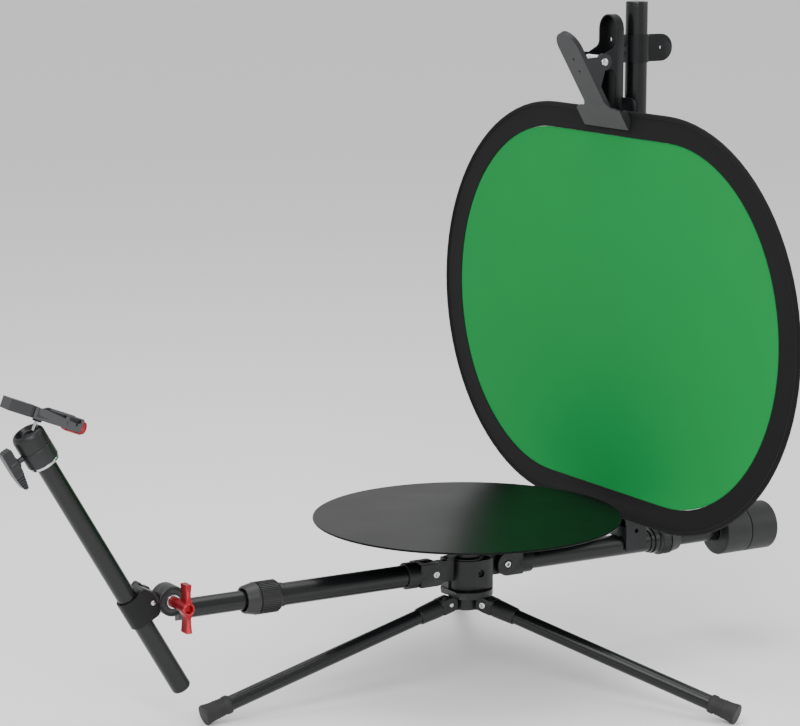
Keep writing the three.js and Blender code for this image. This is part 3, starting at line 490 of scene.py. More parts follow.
# ---- Arm tubes and twist-lock collars ----
# Each arm is a 25 mm aluminium tube with a thinner one sliding in it. A ribbed nylon collar
# screws over the end of the outer tube and squeezes a split bush onto the inner one.
def ribbed(piece, low, high, reach, steps, height):
    """Raises every second strip of a turned piece between two heights, in mm."""
    only(piece)
    bpy.ops.object.mode_set(mode="EDIT")
    bpy.ops.mesh.select_mode(type="FACE")
    bpy.ops.mesh.select_all(action="DESELECT")
    bpy.ops.object.mode_set(mode="OBJECT")
    for face in piece.data.polygons:
        x, y, z = face.center * 1000
        strip = int((atan2(y, x) % (2 * pi)) / (2 * pi) * steps)
        face.select = strip % 2 == 0 and low < z < high and hypot(x, y) > reach and abs(face.normal.z) < 0.3
    bpy.ops.object.mode_set(mode="EDIT")
    bpy.ops.mesh.extrude_region_shrink_fatten(TRANSFORM_OT_shrink_fatten={"value": height / 1000})
    bpy.ops.mesh.select_mode(type="VERT")
    bpy.ops.object.mode_set(mode="OBJECT")
    return piece


nylon_black = moulded("black_glass_nylon", linear("0f0f10"), (0.36, 0.5))
arm_tube = anodised_tube("black_anodised_arm", linear("0c0d0e"), (0, 0, 0))
ARMS = {
    "left": {"turn": 180, "x": -PIVOT_X, "rings": [(13.4, 188.4, 194.2)], "end": 215.5,
             "collar": (194.6, 236), "inner": (83, 305)},
    "right": {"turn": 0, "x": PIVOT_X, "rings": [(13.8, 198.3, 203.2), (15.2, 203.4, 209.6)], "end": 219,
              "collar": (210, 239.4), "inner": (103, 352)},
}
for side, arm in ARMS.items():
    profile = [(11, 17.3), (12.2, 17.3), (12.5, 17.6)]
    for r, low, high in arm["rings"]:
        profile += [(12.5, low), (r - 0.4, low), (r, low + 0.4), (r, high - 0.4), (r - 0.4, high),
                    (12.5, high)]
    end = arm["end"]
    profile += [(12.5, end), (11, end), (11, 17.3)]
    outer = place(turned(f"{side}_outer_arm_tube", profile, 80), lean=(0, 90, 0))
    low, high = arm["inner"]
    inner = turned(f"{side}_inner_arm_tube", [(9.2, low), (10.5, low), (10.7, low + 0.2), (10.7, high - 0.2),
                                              (10.5, high), (9.2, high), (9.2, low)], 72)
    low, high = arm["collar"]
    grip = high - 16
    collar = turned(f"{side}_twist_collar", [
        (12.8, low), (15.3, low), (16.2, low + 0.6), (17.35, low + 3), (17.35, grip), (16.6, grip + 0.3),
        (16.6, grip + 1.1), (17.9, grip + 1.6), (17.9, grip + 3.4), (17.5, grip + 4.2), (15.3, high - 1.4),
        (14.9, high - 0.3), (14.5, high), (13, high), (12.6, high - 0.5), (12.3, grip + 9),
        (11.05, grip + 8.4), (11.05, end + 0.3), (12.8, end + 0.3), (12.8, low)], 96)
    ribbed(collar, low + 3.2, grip - 0.2, 17, 96, 0.62)
    for part, body, node, finish, slot in (
            (outer, f"{side}_arm", "outer_tube", arm_tube, "black_tube"),
            (place(inner, lean=(0, 90, 0)), f"{side}_inner", "inner_tube", arm_tube, "black_tube"),
            (place(collar, lean=(0, 90, 0)), f"{side}_collar", "lock_collar", nylon_black, "black_rubber")):
        place(part, (arm["x"], 0, 0), (0, 0, arm["turn"]))
        fitted(part, body, [f"{side}_{node}"], finish)


# ---- Friction joint ----
# The camera arm ends in a cast lug with a dished disc. A matching disc on the strap clamp
# bears on it, and a red T-handle with a plated washer draws the two together.
DISC_X, DISC_Z, JOINT_R = -371, 12.9, 16.3
lug = place(turned("arm_end_disc", [(0, -12), (7.9, -12), (8.4, -11.6), (9, -10.5), (13, -10.3), (14, -11.7),
                                    (14.4, -12), (15.4, -12), (16.3, -11.2), (16.3, -0.7), (15.8, -0.15),
                                    (0, -0.15)], 96),
            (DISC_X, 0, DISC_Z), (-90, 0, 0))
stub = place(turned("stub", [(0, 352.4), (10.9, 352.4), (11.6, 353.1), (11.6, 354.2), (0, 354.2)], 64),
             lean=(0, -90, 0))
half_stub = place(rod(11.6, 354, 364, 64), lean=(0, -90, 0))
joined(half_stub, plate("front", [(-380, -20), (-340, -20), (-340, 20), (-380, 20)], -20, -0.15),
       how="INTERSECT")
spigot = place(turned("spigot", [(0, 330), (8.3, 330), (8.9, 330.6), (8.9, 353), (0, 353)], 56),
               lean=(0, -90, 0))
web = plate("web", [(-372, -3), (-355, -3), (-355, 11), (-372, 11)], -9, -0.15)
joined(lug, web, half_stub, stub, spigot)
drilled(lug, place(rod(4.3, -20, 20, 40), (DISC_X, 0, DISC_Z), (90, 0, 0)))
eased(lug, 0.35, 2, 50)
fitted(lug, "left_inner", ["arm_end_lug"], casting_black)

washer = turned("tension_washer", [(4.3, 12.2), (7.2, 12.2), (7.6, 12.5), (7.6, 13.2), (7.2, 13.5),
                                   (4.3, 13.5), (4.3, 12.2)], 56)
fitted(place(washer, (DISC_X, 0, DISC_Z), (90, 0, 0)), "left_inner", ["handle_washer"], nickel)


def dyed_anodising(name, colour, rough, metal):
    """Dyed anodising over machined aluminium: coloured metal with fine turning marks."""
    bare = tuple(min(1, c * 1.8 + 0.06) for c in colour[:3]) + (1,)
    return coated(name, colour, (900.0, 3.0), (120.0, 3.0), 0.82, rough, (0.12, 0.00004), metal=metal,
                  worn=(0.54, 0.62, 0.45, bare))


red_anodised = dyed_anodising("red_anodised_aluminium", linear("a01824"), (0.28, 0.4), 0.7)
wing = [(-3.4, 26), (-3, 26.4), (3, 26.4), (3.4, 26), (3.3, 24), (2.5, 17), (2.4, 11), (3.4, 7), (5.2, 4.6),
        (5.8, 0), (5.2, -4.6), (3.4, -7), (2.4, -11), (2.5, -17), (3.3, -24), (3.4, -26), (3, -26.4),
        (-3, -26.4), (-3.4, -26), (-3.3, -24), (-2.5, -17), (-2.4, -11), (-3.4, -7), (-5.2, -4.6),
        (-5.8, 0), (-5.2, 4.6), (-3.4, 7), (-2.4, 11), (-2.5, 17), (-3.3, 24)]
handle = plate("tension_t_handle", wing, -49.4, -36.4)
barrel = turned("barrel", [(0, 13.9), (5.4, 13.9), (6, 14.6), (6, 35), (6.4, 36.4), (7, 38), (7, 49),
                           (6.3, 49.9), (0, 50)], 64)
joined(handle, place(barrel, lean=(90, 0, 0)))
joined(handle, place(turned("screw", [(0, -9.6), (3.6, -9.6), (4, -9.2), (4, 16), (0, 16)], 40),
                     lean=(90, 0, 0)))
drilled(handle, place(turned("recess", [(0, 45), (4.5, 45), (4.5, 49.4), (5, 50.2), (0, 52)], 48),
                      lean=(90, 0, 0)))
eased(handle, 0.8, 3, 40)
fitted(place(handle, (DISC_X, 0, DISC_Z)), "handle", ["tension_handle"], red_anodised)


# ---- Strap clamp ----
# A cast block holds the rear disc. A bent steel strap wraps round the camera pole and the
# block, closed by a bolt through its ears with a lobed knob at the back.
POLE_X, TILT = -407.1, 30
BOLT_P, BOLT_U = 17.6, 7.2
dx = DISC_X - POLE_X
DISC_P = dx * cos(radians(TILT)) + DISC_Z * sin(radians(TILT))
DISC_U = -dx * sin(radians(TILT)) + DISC_Z * cos(radians(TILT))


def on_pole(piece):
    """From the pole's own frame, with Z up along the pole, to the arms' frame."""
    return place(piece, (POLE_X, 0, 0), (0, -TILT, 0))


def cross_hole(r, low, high, p, u, steps=40):
    """A drill along Y at a place in the pole's frame."""
    return place(rod(r, low, high, steps), (p, 0, u), (-90, 0, 0))


block = plate("strap_block", [(8.5, -7), (14, -7), (19, -5), (38, -21), (38, -2), (24, 17), (18, 26),
                              (14, 26), (8.5, 21)], -10.7, 10.7)
drilled(block, cross_hole(JOINT_R + 0.6, -30, 0.15, DISC_P, DISC_U, 72),
        plate("trim", [(26, -60), (60, -60), (60, 60), (26, 60)], -30, 0.15))
rear_disc = place(turned("rear_disc", [(0, 0.15), (15.8, 0.15), (16.3, 0.7), (16.3, 11), (15.4, 12), (11, 12),
                                       (10.4, 11.2), (0, 11)], 96), (DISC_P, 0, DISC_U), (-90, 0, 0))
joined(block, rear_disc)
drilled(block, rod(11, -40, 40, 72),
        cross_hole(PIN_BORE, -20, 20, BOLT_P, BOLT_U, 32), cross_hole(4.3, -20, 10.4, DISC_P, DISC_U))
eased(block, 0.4, 2, 45)
fitted(on_pole(block), "camera_clamp", ["clamp_block"], casting_black)


# Satin black electrocoat over pressed sheet: smooth, and bright where its edges are rubbed.
steel_black = coated("black_coated_sheet_steel", linear("0e0f10"), (700.0, 2.0), (70.0, 5.0), 1.4,
                     (0.3, 0.44), (0.15, 0.00005), 1.3, worn=(0.56, 0.66, 0.4, linear("3a3b3d")))
strap = plate("pole_strap_sheet", [(30, -13), (30, -11), (0, -11)] + arc(0, 0, 11, 270, 90, 40)[1:-1]
              + [(0, 11), (30, 11), (30, 13), (0, 13)] + arc(0, 0, 13, 90, 270, 40)[1:-1] + [(0, -13)], -20,
              30, "Z")
ears = plate("ears", [(-14, -9), (16, -9), (18.6, -7.8), (20.3, -6), (22.1, 1), (23.4, 11.4), (23.2, 14),
                      (20.9, 19.6), (19.4, 21.9), (17, 23.5), (-14, 23.5)], -16, 16)
joined(strap, ears, how="INTERSECT")
drilled(strap, cross_hole(PIN_BORE, -20, 20, BOLT_P, BOLT_U, 32))
eased(strap, 0.35, 2, 50)
fitted(on_pole(strap), "camera_clamp", ["pole_strap"], steel_black)

bolt = turned("strap_rivet_bolt", [(0, -15), (1.4, -14.95), (2.3, -14.6), (2.9, -13.7), (3, -13), (3, 29.6),
                                   (2.6, 30), (0, 30)], 40)
fitted(on_pole(place(bolt, (BOLT_P, 0, BOLT_U), (-90, 0, 0))), "camera_clamp", ["strap_bolt"], nickel)

lobes = [((13 + 1.6 * cos(6 * a)) * cos(a),
          (13 + 1.6 * cos(6 * a)) * sin(a)) for a in [2 * pi * i / 72 for i in range(72)]]
lobed = plate("strap_lobed_knob", lobes, 20, 32, "Z")
eased(lobed, 1.6, 3, 60)
joined(lobed, turned("hub", [(0, 13.5), (6.4, 13.5), (7, 14.2), (7, 32.4), (6.4, 33), (0, 33)], 48))
drilled(lobed, rod(PIN_BORE, 0, 30.4, 32))
fitted(on_pole(place(lobed, (BOLT_P, 0, BOLT_U), (-90, 0, 0))), "clamp_knob", ["strap_knob"], nylon_black)


# ---- Camera pole ----
# A black anodised aluminium tube with a pressed-in end cap at the bottom, open at the top for
# the ball head's spigot.
pole_tube = anodised_tube("black_anodised_camera_pole", linear("0c0d0e"), (0, -60, 0))
camera_pole = turned("camera_pole_tube", [
    (0, -100.6), (8.6, -100.6), (9.6, -100.3), (10, -99.6), (10, -98.9), (10.4, -98.7), (10.7, -98.4),
    (10.7, 202), (10.4, 202.5), (9.2, 202.5), (9.2, -97.6), (0, -97.6)], 80)
fitted(on_pole(camera_pole), "camera_mast", ["camera_pole"], pole_tube)


# ---- Ball head ----
# A turned aluminium housing on a plated base ring grips a steel ball. Its slot lets the stem
# lean right over, and a wing knob clamps it.
BALL_UP, KNOB_UP = 233, 221
ring = turned("ball_head_base", [(0, 188), (8.3, 188), (8.9, 188.6), (8.9, 202.8), (16, 202.8),
                                 (16.5, 203.2), (16.5, 205.3), (16.1, 205.8), (0, 205.8)], 80)
fitted(on_pole(ring), "camera_mast", ["head_base_ring"], nickel)

housing = turned("ball_head_housing", [
    (0, 206.1), (16.6, 206.1), (17.5, 206.9), (17.5, 222.9), (17.1, 223.3), (16.9, 224), (17.1, 224.7),
    (17.5, 225.1), (17.5, 237), (17.2, 238.6), (16.6, 240.2), (15.8, 241.6), (14.7, 242.6), (13.4, 243),
    (12.5, 242.9), (11.4, 240.4), (9.6, 238), (10.2, 236.4), (10.4, 234.6), (10.5, 233), (10.2, 230.4),
    (9, 227.6), (7, 225.2), (4, 223.3), (0, 222.5)], 96)
drilled(housing,
        plate("slot", [(0, 241), (0, 234)] + [(8, 231)] + [(30, 231), (30, 250), (0, 250)], -4.6, 4.6),
        place(rod(3.4, 11.6, 30, 32), (0, 0, KNOB_UP), (0, -90, 0)))
eased(housing, 0.35, 2, 50)
fitted(on_pole(housing), "head", ["head_housing"], casting_black)

grey_anodised = dyed_anodising("grey_anodised_aluminium", linear("2c2d2f"), (0.3, 0.42), 0.5)
lever = plate("ball_lock_lever", [
    (-35.2, 18), (-35.8, 16), (-36, -9), (-35.4, -17), (-34.2, -25.6), (-33, -27.6), (-30.6, -28.2),
    (-28.8, -27.2), (-26.9, -19), (-24.8, -8), (-24.2, 2), (-24.6, 8), (-24.2, 14), (-24.4, 17.4),
    (-25.4, 18.2), (-34.4, 18.4)], -6, 6)
for height in (-14, -16.8, -19.6, -22.4, -25.2):
    for near, far in ((-9, -4.7), (4.7, 9)):
        drilled(lever, plate("groove", [(-40, height - 0.6), (-20, height - 0.6), (-20, height + 0.6),
                                        (-40, height + 0.6)],
                             near, far))
for x in (-32.4, -29.4, -26.4):
    drilled(lever, plate("flute", arc(x, 19, 1.5, 0, 360, 16)[:-1], -9, 9))
joined(lever,
       place(turned("boss", [(0, 23), (5.5, 23), (6.6, 24), (7, 25.4), (7, 32.6), (6.2, 34.4), (4.8, 36),
                             (0, 36)], 56),
             lean=(0, -90, 0)),
       place(rod(3.1, 12.5, 26, 32), lean=(0, -90, 0)))
eased(lever, 0.5, 2, 45)
fitted(on_pole(place(lever, (0, 0, KNOB_UP))), "head_lock", ["head_knob"], grey_anodised)

STEM_LEAN, STEM_TOP = 52, 21.6


def on_ball(piece):
    """From the ball's own frame, with Z up the stem, to the arms' frame."""
    return on_pole(place(piece, (0, 0, BALL_UP), (0, STEM_LEAN, 0)))


ball_round = [(10 * sin(radians(a)), -10 * cos(radians(a))) for a in range(0, 158, 6)]
ball = turned("clamped_ball", ball_round + [(3.3, 9.6), (3.3, 8), (0, 8)], 64)
fitted(on_ball(ball), "ball", ["ball_stem"], black_oxide)
stem = turned("ball_stem_post", [(0, 8.2), (2.4, 8.2), (2.4, STEM_TOP - 1.8), (0, STEM_TOP - 1.8)], 48)
fitted(on_ball(stem), "ball", [], nickel)
seat = turned("ball_stem_seat", [(0, STEM_TOP - 2), (4.6, STEM_TOP - 2), (5, STEM_TOP - 1.6), (5, STEM_TOP),
                                 (2.9, STEM_TOP),
                                 (2.9, STEM_TOP + 1.9), (2.5, STEM_TOP + 2.3), (0, STEM_TOP + 2.3)], 64)
fitted(on_ball(seat), "ball", [], black_oxide)


# ---- Phone clamp ----
# A milled aluminium channel with a raised back rail. A red thumb screw runs through it and
# draws the sliding jaw, which has a rubber pad on its gripping face.
FLOOR_Z = STEM_TOP + 0.3
HIGH, FRONT, BACK = 12.5, -9, 14.5
SCREW_Y, SCREW_Z = 2.6, 5.2


def bar(name, x0, x1, y0, y1, z0, z1):
    """A milled bar between two corners, in mm."""
    return plate(name, [(x0, z0), (x1, z0), (x1, z1), (x0, z1)], y0, y1)


channel = bar("phone_clamp_channel", -9.5, 30, FRONT, BACK, 0, 3.4)
joined(channel, bar("head", -9.5, -5, FRONT, BACK, 0, HIGH), bar("bearing", 26, 30, FRONT, BACK, 0, HIGH),
       plate("front", [(-9.5, 0), (46.5, 0), (46.5, HIGH + 2), (43.5, HIGH + 2), (43.5, 9), (41, 9),
                       (41, 5.6), (39, 5.6), (39, 8.2), (6, HIGH - 0.6), (-9.5, HIGH)], FRONT, FRONT + 2.4),
       plate("lip", [(8, HIGH + 0.4), (46, HIGH + 0.4), (46, HIGH + 2), (8, HIGH + 2)], FRONT - 0.01, FRONT
             + 2.39),
       plate("rail", [(8, 0), (46.4, 0), (46.4, HIGH + 1), (44.5, HIGH + 2), (14, HIGH + 2), (8, HIGH - 1)],
             BACK - 2.4, BACK))
drilled(channel, place(rod(2.9, -40, 40, 32), (0, SCREW_Y, SCREW_Z), (0, 90, 0)),
        rod(3.2, -1, 3.8, 32))
eased(channel, 0.35, 2, 40)
fitted(on_ball(place(channel, (0, 0, FLOOR_Z))), "phone_clamp", ["phone_clamp_frame"], grey_anodised)

# Painted shade: a thin black oxide strip just behind the front wall darkens the gap between the sloped wall
# and the lip, where shade falls.
gap_shade_strip = bar("phone_clamp_gap_shade_strip", 8.2, 44, FRONT + 2.5, FRONT + 3.5, 3.6, HIGH + 1.4)
eased(gap_shade_strip, 0.3, 2, 40)
fitted(on_ball(place(gap_shade_strip, (0, 0, FLOOR_Z))), "phone_clamp", [], black_oxide)

jaw = bar("phone_clamp_slide", -38, -13, FRONT, BACK, 0, HIGH)
drilled(jaw, place(rod(2.9, -34, 0, 32), (0, SCREW_Y, SCREW_Z), (0, 90, 0)))
for x in (-33, -29.5, -26, -22.5, -19):
    drilled(jaw, plate("groove", [(x - 0.5, HIGH - 0.6), (x + 0.5, HIGH - 0.6), (x + 0.5, HIGH + 1),
                                  (x - 0.5, HIGH + 1)],
                       FRONT + 2, BACK - 2))
eased(jaw, 0.4, 2, 40)
fitted(on_ball(place(jaw, (0, 0, FLOOR_Z))), "phone_jaw", ["phone_clamp_jaw"], grey_anodised)
pad = bar("phone_clamp_pad", -12.9, -10, FRONT + 0.6, BACK - 0.6, 0.6, HIGH - 0.6)
drilled(pad, place(rod(2.9, -34, 0, 32), (0, SCREW_Y, SCREW_Z), (0, 90, 0)))
eased(pad, 0.5, 2, 40)
fitted(on_ball(place(pad, (0, 0, FLOOR_Z))), "phone_jaw", [], rubber_black)

thumb = turned("phone_clamp_thumb_screw", [
    (2.6, 30.4), (6.7, 30.4), (7.3, 30.9), (7.3, 32.4), (6.9, 32.8), (7.5, 33.3), (7.5, 51.4), (6.9, 52.4),
    (6.6, 54), (6, 54.5), (3, 54.5), (2.6, 54), (0, 54), (0, 36), (2.6, 36), (2.6, 30.4)], 96)
ribbed(thumb, 33.4, 51.3, 7.3, 96, 0.4)
fitted(on_ball(place(thumb, (0, SCREW_Y, FLOOR_Z + SCREW_Z), (0, 90, 0))), "phone_knob", ["phone_clamp_knob"],
       red_anodised)
spindle = turned("phone_clamp_spindle", [(0, -33), (2.1, -33)] + [
    (r, z) for turn_z in range(-32, 25) for r, z in ((2.15, turn_z), (2.5, turn_z + 0.5))] + [
    (2.45, 25), (2.45, 35.8), (0, 35.8)], 32)
fitted(on_ball(place(spindle, (0, SCREW_Y, FLOOR_Z + SCREW_Z), (0, 90, 0))), "phone_knob", [], nickel)


# ---- Counterweight ----
# Two turned cast-iron weights on the end of the arm, in thick black enamel, with a small
# turned lip where the tube goes in.

# Thick enamel over cast iron: soft pebbling and slow changes of gloss.
iron_enamel = coated("black_enamelled_iron", linear("101112"), (520.0, 3.0), (50.0, 4.0), 1.35,
                     (0.42, 0.6), (0.35, 0.00012), 1.5)
weight = turned("inner_weight", [
    (11, 345), (12.2, 344.3), (13.3, 344.3), (13.8, 345), (26.4, 345), (27.8, 345.5), (28.5, 346.8),
    (28.5, 378.9), (28.1, 379.9), (27.2, 380.3), (11, 380.3), (11, 345)], 112)
fitted(place(weight, lean=(0, 90, 0)), "right_inner", ["counterweight_inner"], iron_enamel)
weight = turned("outer_weight", [
    (0, 380.7), (27.2, 380.7), (28.1, 381.1), (28.5, 382.1), (28.5, 416.2), (27.9, 417.5), (26.6, 418),
    (16, 418), (15.2, 417.2), (14.6, 417.2), (13.8, 418), (0, 418)], 112)
drilled(weight, rod(11, 370, 401, 56))
fitted(place(weight, lean=(0, 90, 0)), "right_inner", ["counterweight_outer"], iron_enamel)


# ---- Backdrop pole ----
# A pressed steel bracket is welded over the outer tube. The pole's cast socket folds between
# its cheeks on a riveted pin, and the anodised pole is pushed into it.
MAST_X, FOLD_Z = 221.5, 36
cheek = [(-14.2, -4.2), (14.2, -4.2)] + arc(0, FOLD_Z, 14.2, 0, 180, 32)
bracket = plate("pole_bracket_cheeks", cheek, -15.5, -13.2)
joined(bracket, bar("saddle", -14.2, 14.2, -14, 14, 6, 23.5), plate("cheek", cheek, 13.2, 15.5),
       bar("step", -21, -13, -7, 8, 12, 23.5))
drilled(bracket, place(rod(TUBE_BORE, -60, 60, 80), lean=(0, 90, 0)),
        place(rod(PIN_BORE, -20, 20, 32), (0, 0, FOLD_Z), (90, 0, 0)),
        place(rod(2.6, 9, 20, 32), (0, 0, 18), (90, 0, 0)))
eased(bracket, 0.5, 2, 45)
fitted(place(bracket, (MAST_X, 0, 0)), "right_arm", ["pole_bracket"], steel_black)

pin = turned("fold_pin", [(0, -17.6), (3.6, -17.6), (4.7, -17), (5, -16.4), (5, -15.8), (3, -15.8),
                          (3, 15.8), (5, 15.8), (5, 17), (4.4, 18.1), (3.4, 18.4), (0, 18.4)], 48)
fitted(place(pin, (MAST_X, 0, FOLD_Z), (-90, 0, 0)), "right_arm", ["fold_bolt"], black_oxide)

socket = turned("pole_cup", [(0, 17), (14.4, 17), (15.4, 18.2), (15.4, 44.8), (14.6, 46), (0, 46)], 80)
joined(socket, plate("tongue", arc(0, 0, 11.6, 180, 360, 32) + [(11.6, 18), (-11.6, 18)], -12.9, 12.9))
drilled(socket, place(rod(PIN_BORE, -20, 20, 32), lean=(90, 0, 0)),
        rod(TUBE_BORE, 20, 60, 80))
eased(socket, 0.5, 2, 45)
fitted(place(socket, (MAST_X, 0, FOLD_Z)), "socket", ["pole_socket"], casting_black)

mast_tube = anodised_tube("black_anodised_mast", linear("0c0d0e"), (0, 90, 0))
mast = turned("backdrop_mast_tube", [
    (11, 56.4), (12.3, 56.4), (12.5, 56.6), (12.5, 622.4), (12.25, 622.8), (12.5, 623.2), (12.5, 625.8),
    (12, 626.7), (11, 627), (0, 627), (0, 623), (11, 623), (11, 56.4)], 80)
fitted(place(mast, (MAST_X, 0, 0)), "backdrop_mast", ["backdrop_pole"], mast_tube)


# ---- Pole band ----
# Two bent steel strips pinch the pole. Their long ears are pressed together and drilled, and
# a bolt through their short tabs also holds the spring clamp's tongue.
BAND_LOW, BAND_HIGH = 559, 589.6
BAND_MID, BAND_HALF = (BAND_LOW + BAND_HIGH) / 2, (BAND_HIGH - BAND_LOW) / 2
R_IN, R_OUT = 12.8, 14.4
strip = ([(-sqrt(R_IN ** 2 - 1.9 ** 2), -1.9), (-24.8, -1.9), (-24.8, -3.5),
          (-sqrt(R_OUT ** 2 - 3.5 ** 2), -3.5)]
         + arc(0, 0, R_OUT, 180 + degrees(asin(3.5 / R_OUT)), 360 - degrees(asin(1.9 / R_OUT)), 40)[1:]
         + [(48.1, -1.9), (48.1, -0.2), (sqrt(R_IN ** 2 - 0.04), -0.2)]
         + arc(0, 0, R_IN, 360 - degrees(asin(0.2 / R_IN)), 180 + degrees(asin(1.9 / R_IN)), 40)[1:-1])
band = plate("front_band_strip", strip, -BAND_HALF, BAND_HALF, "Z")
joined(band, plate("round_end", [(-30, -BAND_HALF)] + arc(48.1 - BAND_HALF, 0, BAND_HALF, -90, 90, 40)
                   + [(-30, BAND_HALF)],
                   -30, 30), how="INTERSECT")
drilled(band, place(rod(2.2, -20, 20, 32), (32.7, 0, 0), (90, 0, 0)),
        place(rod(2.3, -20, 20, 32), (-19.6, 0, 0), (90, 0, 0)))
eased(band, 0.3, 2, 50)
rear_band = place(copied(band, "rear_band_strip"), lean=(180, 0, 0))
fitted(place(band, (MAST_X, 0, BAND_MID)), "backdrop_carrier", ["band_front"], steel_black)
fitted(place(rear_band, (MAST_X, 0, BAND_MID)), "backdrop_carrier", ["band_rear"], steel_black)
bolt = turned("band_tab_bolt", [(0, -6), (3, -6), (3.6, -5.5), (3.6, -3.8), (2, -3.8), (2, 3.8), (3.6, 3.8),
                                (3.6, 6.2), (0, 6.2)], 6)
fitted(place(bolt, (MAST_X - 19.6, 0, BAND_MID), (-90, 0, 0)), "backdrop_carrier", ["band_bolt"],
       black_oxide)


# ---- Spring clamp ----
# Two levers pressed from steel sheet, with rolled flanges, turn on a plated rivet inside a
# wound torsion spring. Their wide jaws grip the backdrop's edge.
CLIP_X, CLIP_Z = 165, 562
ARM_X, BACK_X, HALF_W, TOP, EDGE = 190.4, 192.4, 17.5, 613.5, 1.5
pressing = plate("rear_clamp_lever", [(-HALF_W, 508), (HALF_W, 508)]
                 + arc(0, TOP - HALF_W, HALF_W, 0, 180, 40),
                 155, BACK_X, "X")
INNER_W = HALF_W - EDGE
drilled(pressing, plate("pocket", [(-INNER_W, 500), (INNER_W, 500)]
                        + arc(0, TOP - HALF_W, INNER_W, 0, 180, 40),
                        140, ARM_X, "X"))
side = ([(BACK_X, 508), (BACK_X, TOP), (182.5, TOP), (182.5, 586)] + arc(174, 584, 8.5, 0, -62, 8)
        + arc(CLIP_X, CLIP_Z, 9.5, 71.6, 280.7, 32) + arc(174.5, 545.5, 8, 118, 8, 8) + [(182.5, 520)]
        + arc(190.5, 519, 8, 180, 235, 6) + [(186, 508)])
joined(pressing, plate("cheeks", side, -HALF_W - 1, HALF_W + 1), how="INTERSECT")
jaw_plate = plate("jaw", [(-42, 490), (42, 490), (43.1, 490.4), (43.5, 491.5), (43.5, 514), (42.8, 516.5),
                          (41, 518.5), (37, 521), (33, 521.6), (-33, 521.6), (-37, 521), (-41, 518.5),
                          (-42.8, 516.5), (-43.5, 514), (-43.5, 491.5), (-43.1, 490.4)], ARM_X, BACK_X, "X")
tongue = plate("tongue", [(BACK_X - 1, 561), (206.3, 561), (206.3, 587.6), (BACK_X - 1, 587.6)], -1.5, 1.5)
joined(pressing, jaw_plate, tongue)
drilled(pressing, place(rod(3.9, -30, 30, 32), (CLIP_X, 0, CLIP_Z), (90, 0, 0)),
        place(rod(2.3, -30, 30, 32), (MAST_X - 19.6, 0, BAND_MID), (90, 0, 0)),
        place(rod(2.6, 180, 196, 32), (0, 6, 585), (0, 90, 0)))
eased(pressing, 0.45, 2, 45)
fitted(pressing, "backdrop_carrier", ["clip_rear_arm"], steel_black)

FACE, GAUGE, FOLD = -22.8, 1.6, 5.5
lever = plate("front_clamp_lever", [(-20, -50), (20, -50)] + arc(0, 30, 20, 0, 180, 40), FACE, FACE + FOLD,
              "X")
drilled(lever, plate("pocket", [(-18.4, -46), (18.4, -46)] + arc(0, 30, 18.4, 0, 180, 40), FACE + GAUGE,
                     FACE + 20, "X"))
front_jaw = plate("jaw", [(-42, -73.6), (42, -73.6), (43.1, -73.2), (43.5, -72), (43.5, -52), (42.6, -50),
                          (40.5, -48.6), (34, -46.4), (27, -46), (23, -44), (20.3, -40), (19, -30),
                          (-19, -30), (-20.3, -40), (-23, -44), (-27, -46), (-34, -46.4), (-40.5, -48.6),
                          (-42.6, -50), (-43.5, -52), (-43.5, -72),
                          (-43.1, -73.2)], FACE + 0.02, FACE + GAUGE, "X")
side = [(FACE + 0.5, 18), (FACE + 0.5, -26), (-4, -9)] + arc(0, 0, 9.5, -112.9, 112.9, 32)
wing_side = [(FACE + 0.04, -73), (FACE + 3, -73), (FACE + 9, -64), (FACE + 9, -54), (FACE + 7.6, -51.6),
             (FACE + 0.04, -50)]
joined(lever, front_jaw, plate("cheek", side, -19.98, -18.2), plate("cheek", side, 18.2, 19.98),
       plate("wing", wing_side, -43.48, -41.9), plate("wing", wing_side, 41.9, 43.48))
drilled(lever, place(rod(3.9, -30, 30, 32), lean=(90, 0, 0)),
        place(rod(1.9, -30, -15, 32), (0, 0, 16), (0, 90, 0)),
        place(rod(1.9, -30, -15, 32), lean=(0, 90, 0)))
eased(lever, 0.45, 2, 45)
fitted(place(lever, (CLIP_X, 0, CLIP_Z), (0, -30, 0)), "clip_lever", ["clip_front_arm"], steel_black)

rivet = turned("clamp_rivet", [(0, -22), (1.6, -21.95), (3.2, -21.5), (4.2, -20.9), (4.4, -20.4),
                               (3.5, -20.3), (3.5, 20.3),
                               (4.4, 20.4), (4.2, 20.9), (3.2, 21.5), (1.6, 21.95), (0, 22)], 48)
fitted(place(rivet, (CLIP_X, 0, CLIP_Z), (-90, 0, 0)), "backdrop_carrier", ["clip_rivet"], nickel)

wire = line("clamp_torsion_spring", [(6.1 + 1.3 * cos(a), 0,
                                      1.3 * sin(a)) for a in [2 * pi * i / 12 for i in range(13)]])
bpy.ops.mesh.select_all(action="SELECT")
bpy.ops.mesh.remove_doubles(threshold=1e-6)
bpy.ops.mesh.edge_face_add()
bpy.ops.object.mode_set(mode="OBJECT")
shaped(wire, "SCREW", axis="Z", angle=2 * pi, screw_offset=0.0029, iterations=8, steps=24, render_steps=24,
       use_merge_vertices=True, merge_threshold=1e-6)
only(wire)
bpy.ops.object.mode_set(mode="EDIT")
faces_out()
place(wire, (0, 0, -11.7))
fitted(place(wire, (CLIP_X, 0, CLIP_Z), (-90, 0, 0)), "backdrop_carrier", ["clip_spring"], nickel)


# ---- Backdrop ----
# Chroma green polyester cloth, stretched in a black woven border that is sewn around a flat
# sprung steel hoop.
SCREEN_X, SCREEN_Z = 187, 274.5
HALF_LONG, HALF_HIGH, FLAT = 353, 233.5, 110
GREEN_LONG, GREEN_HIGH, GREEN_FLAT = 318, 204, 114


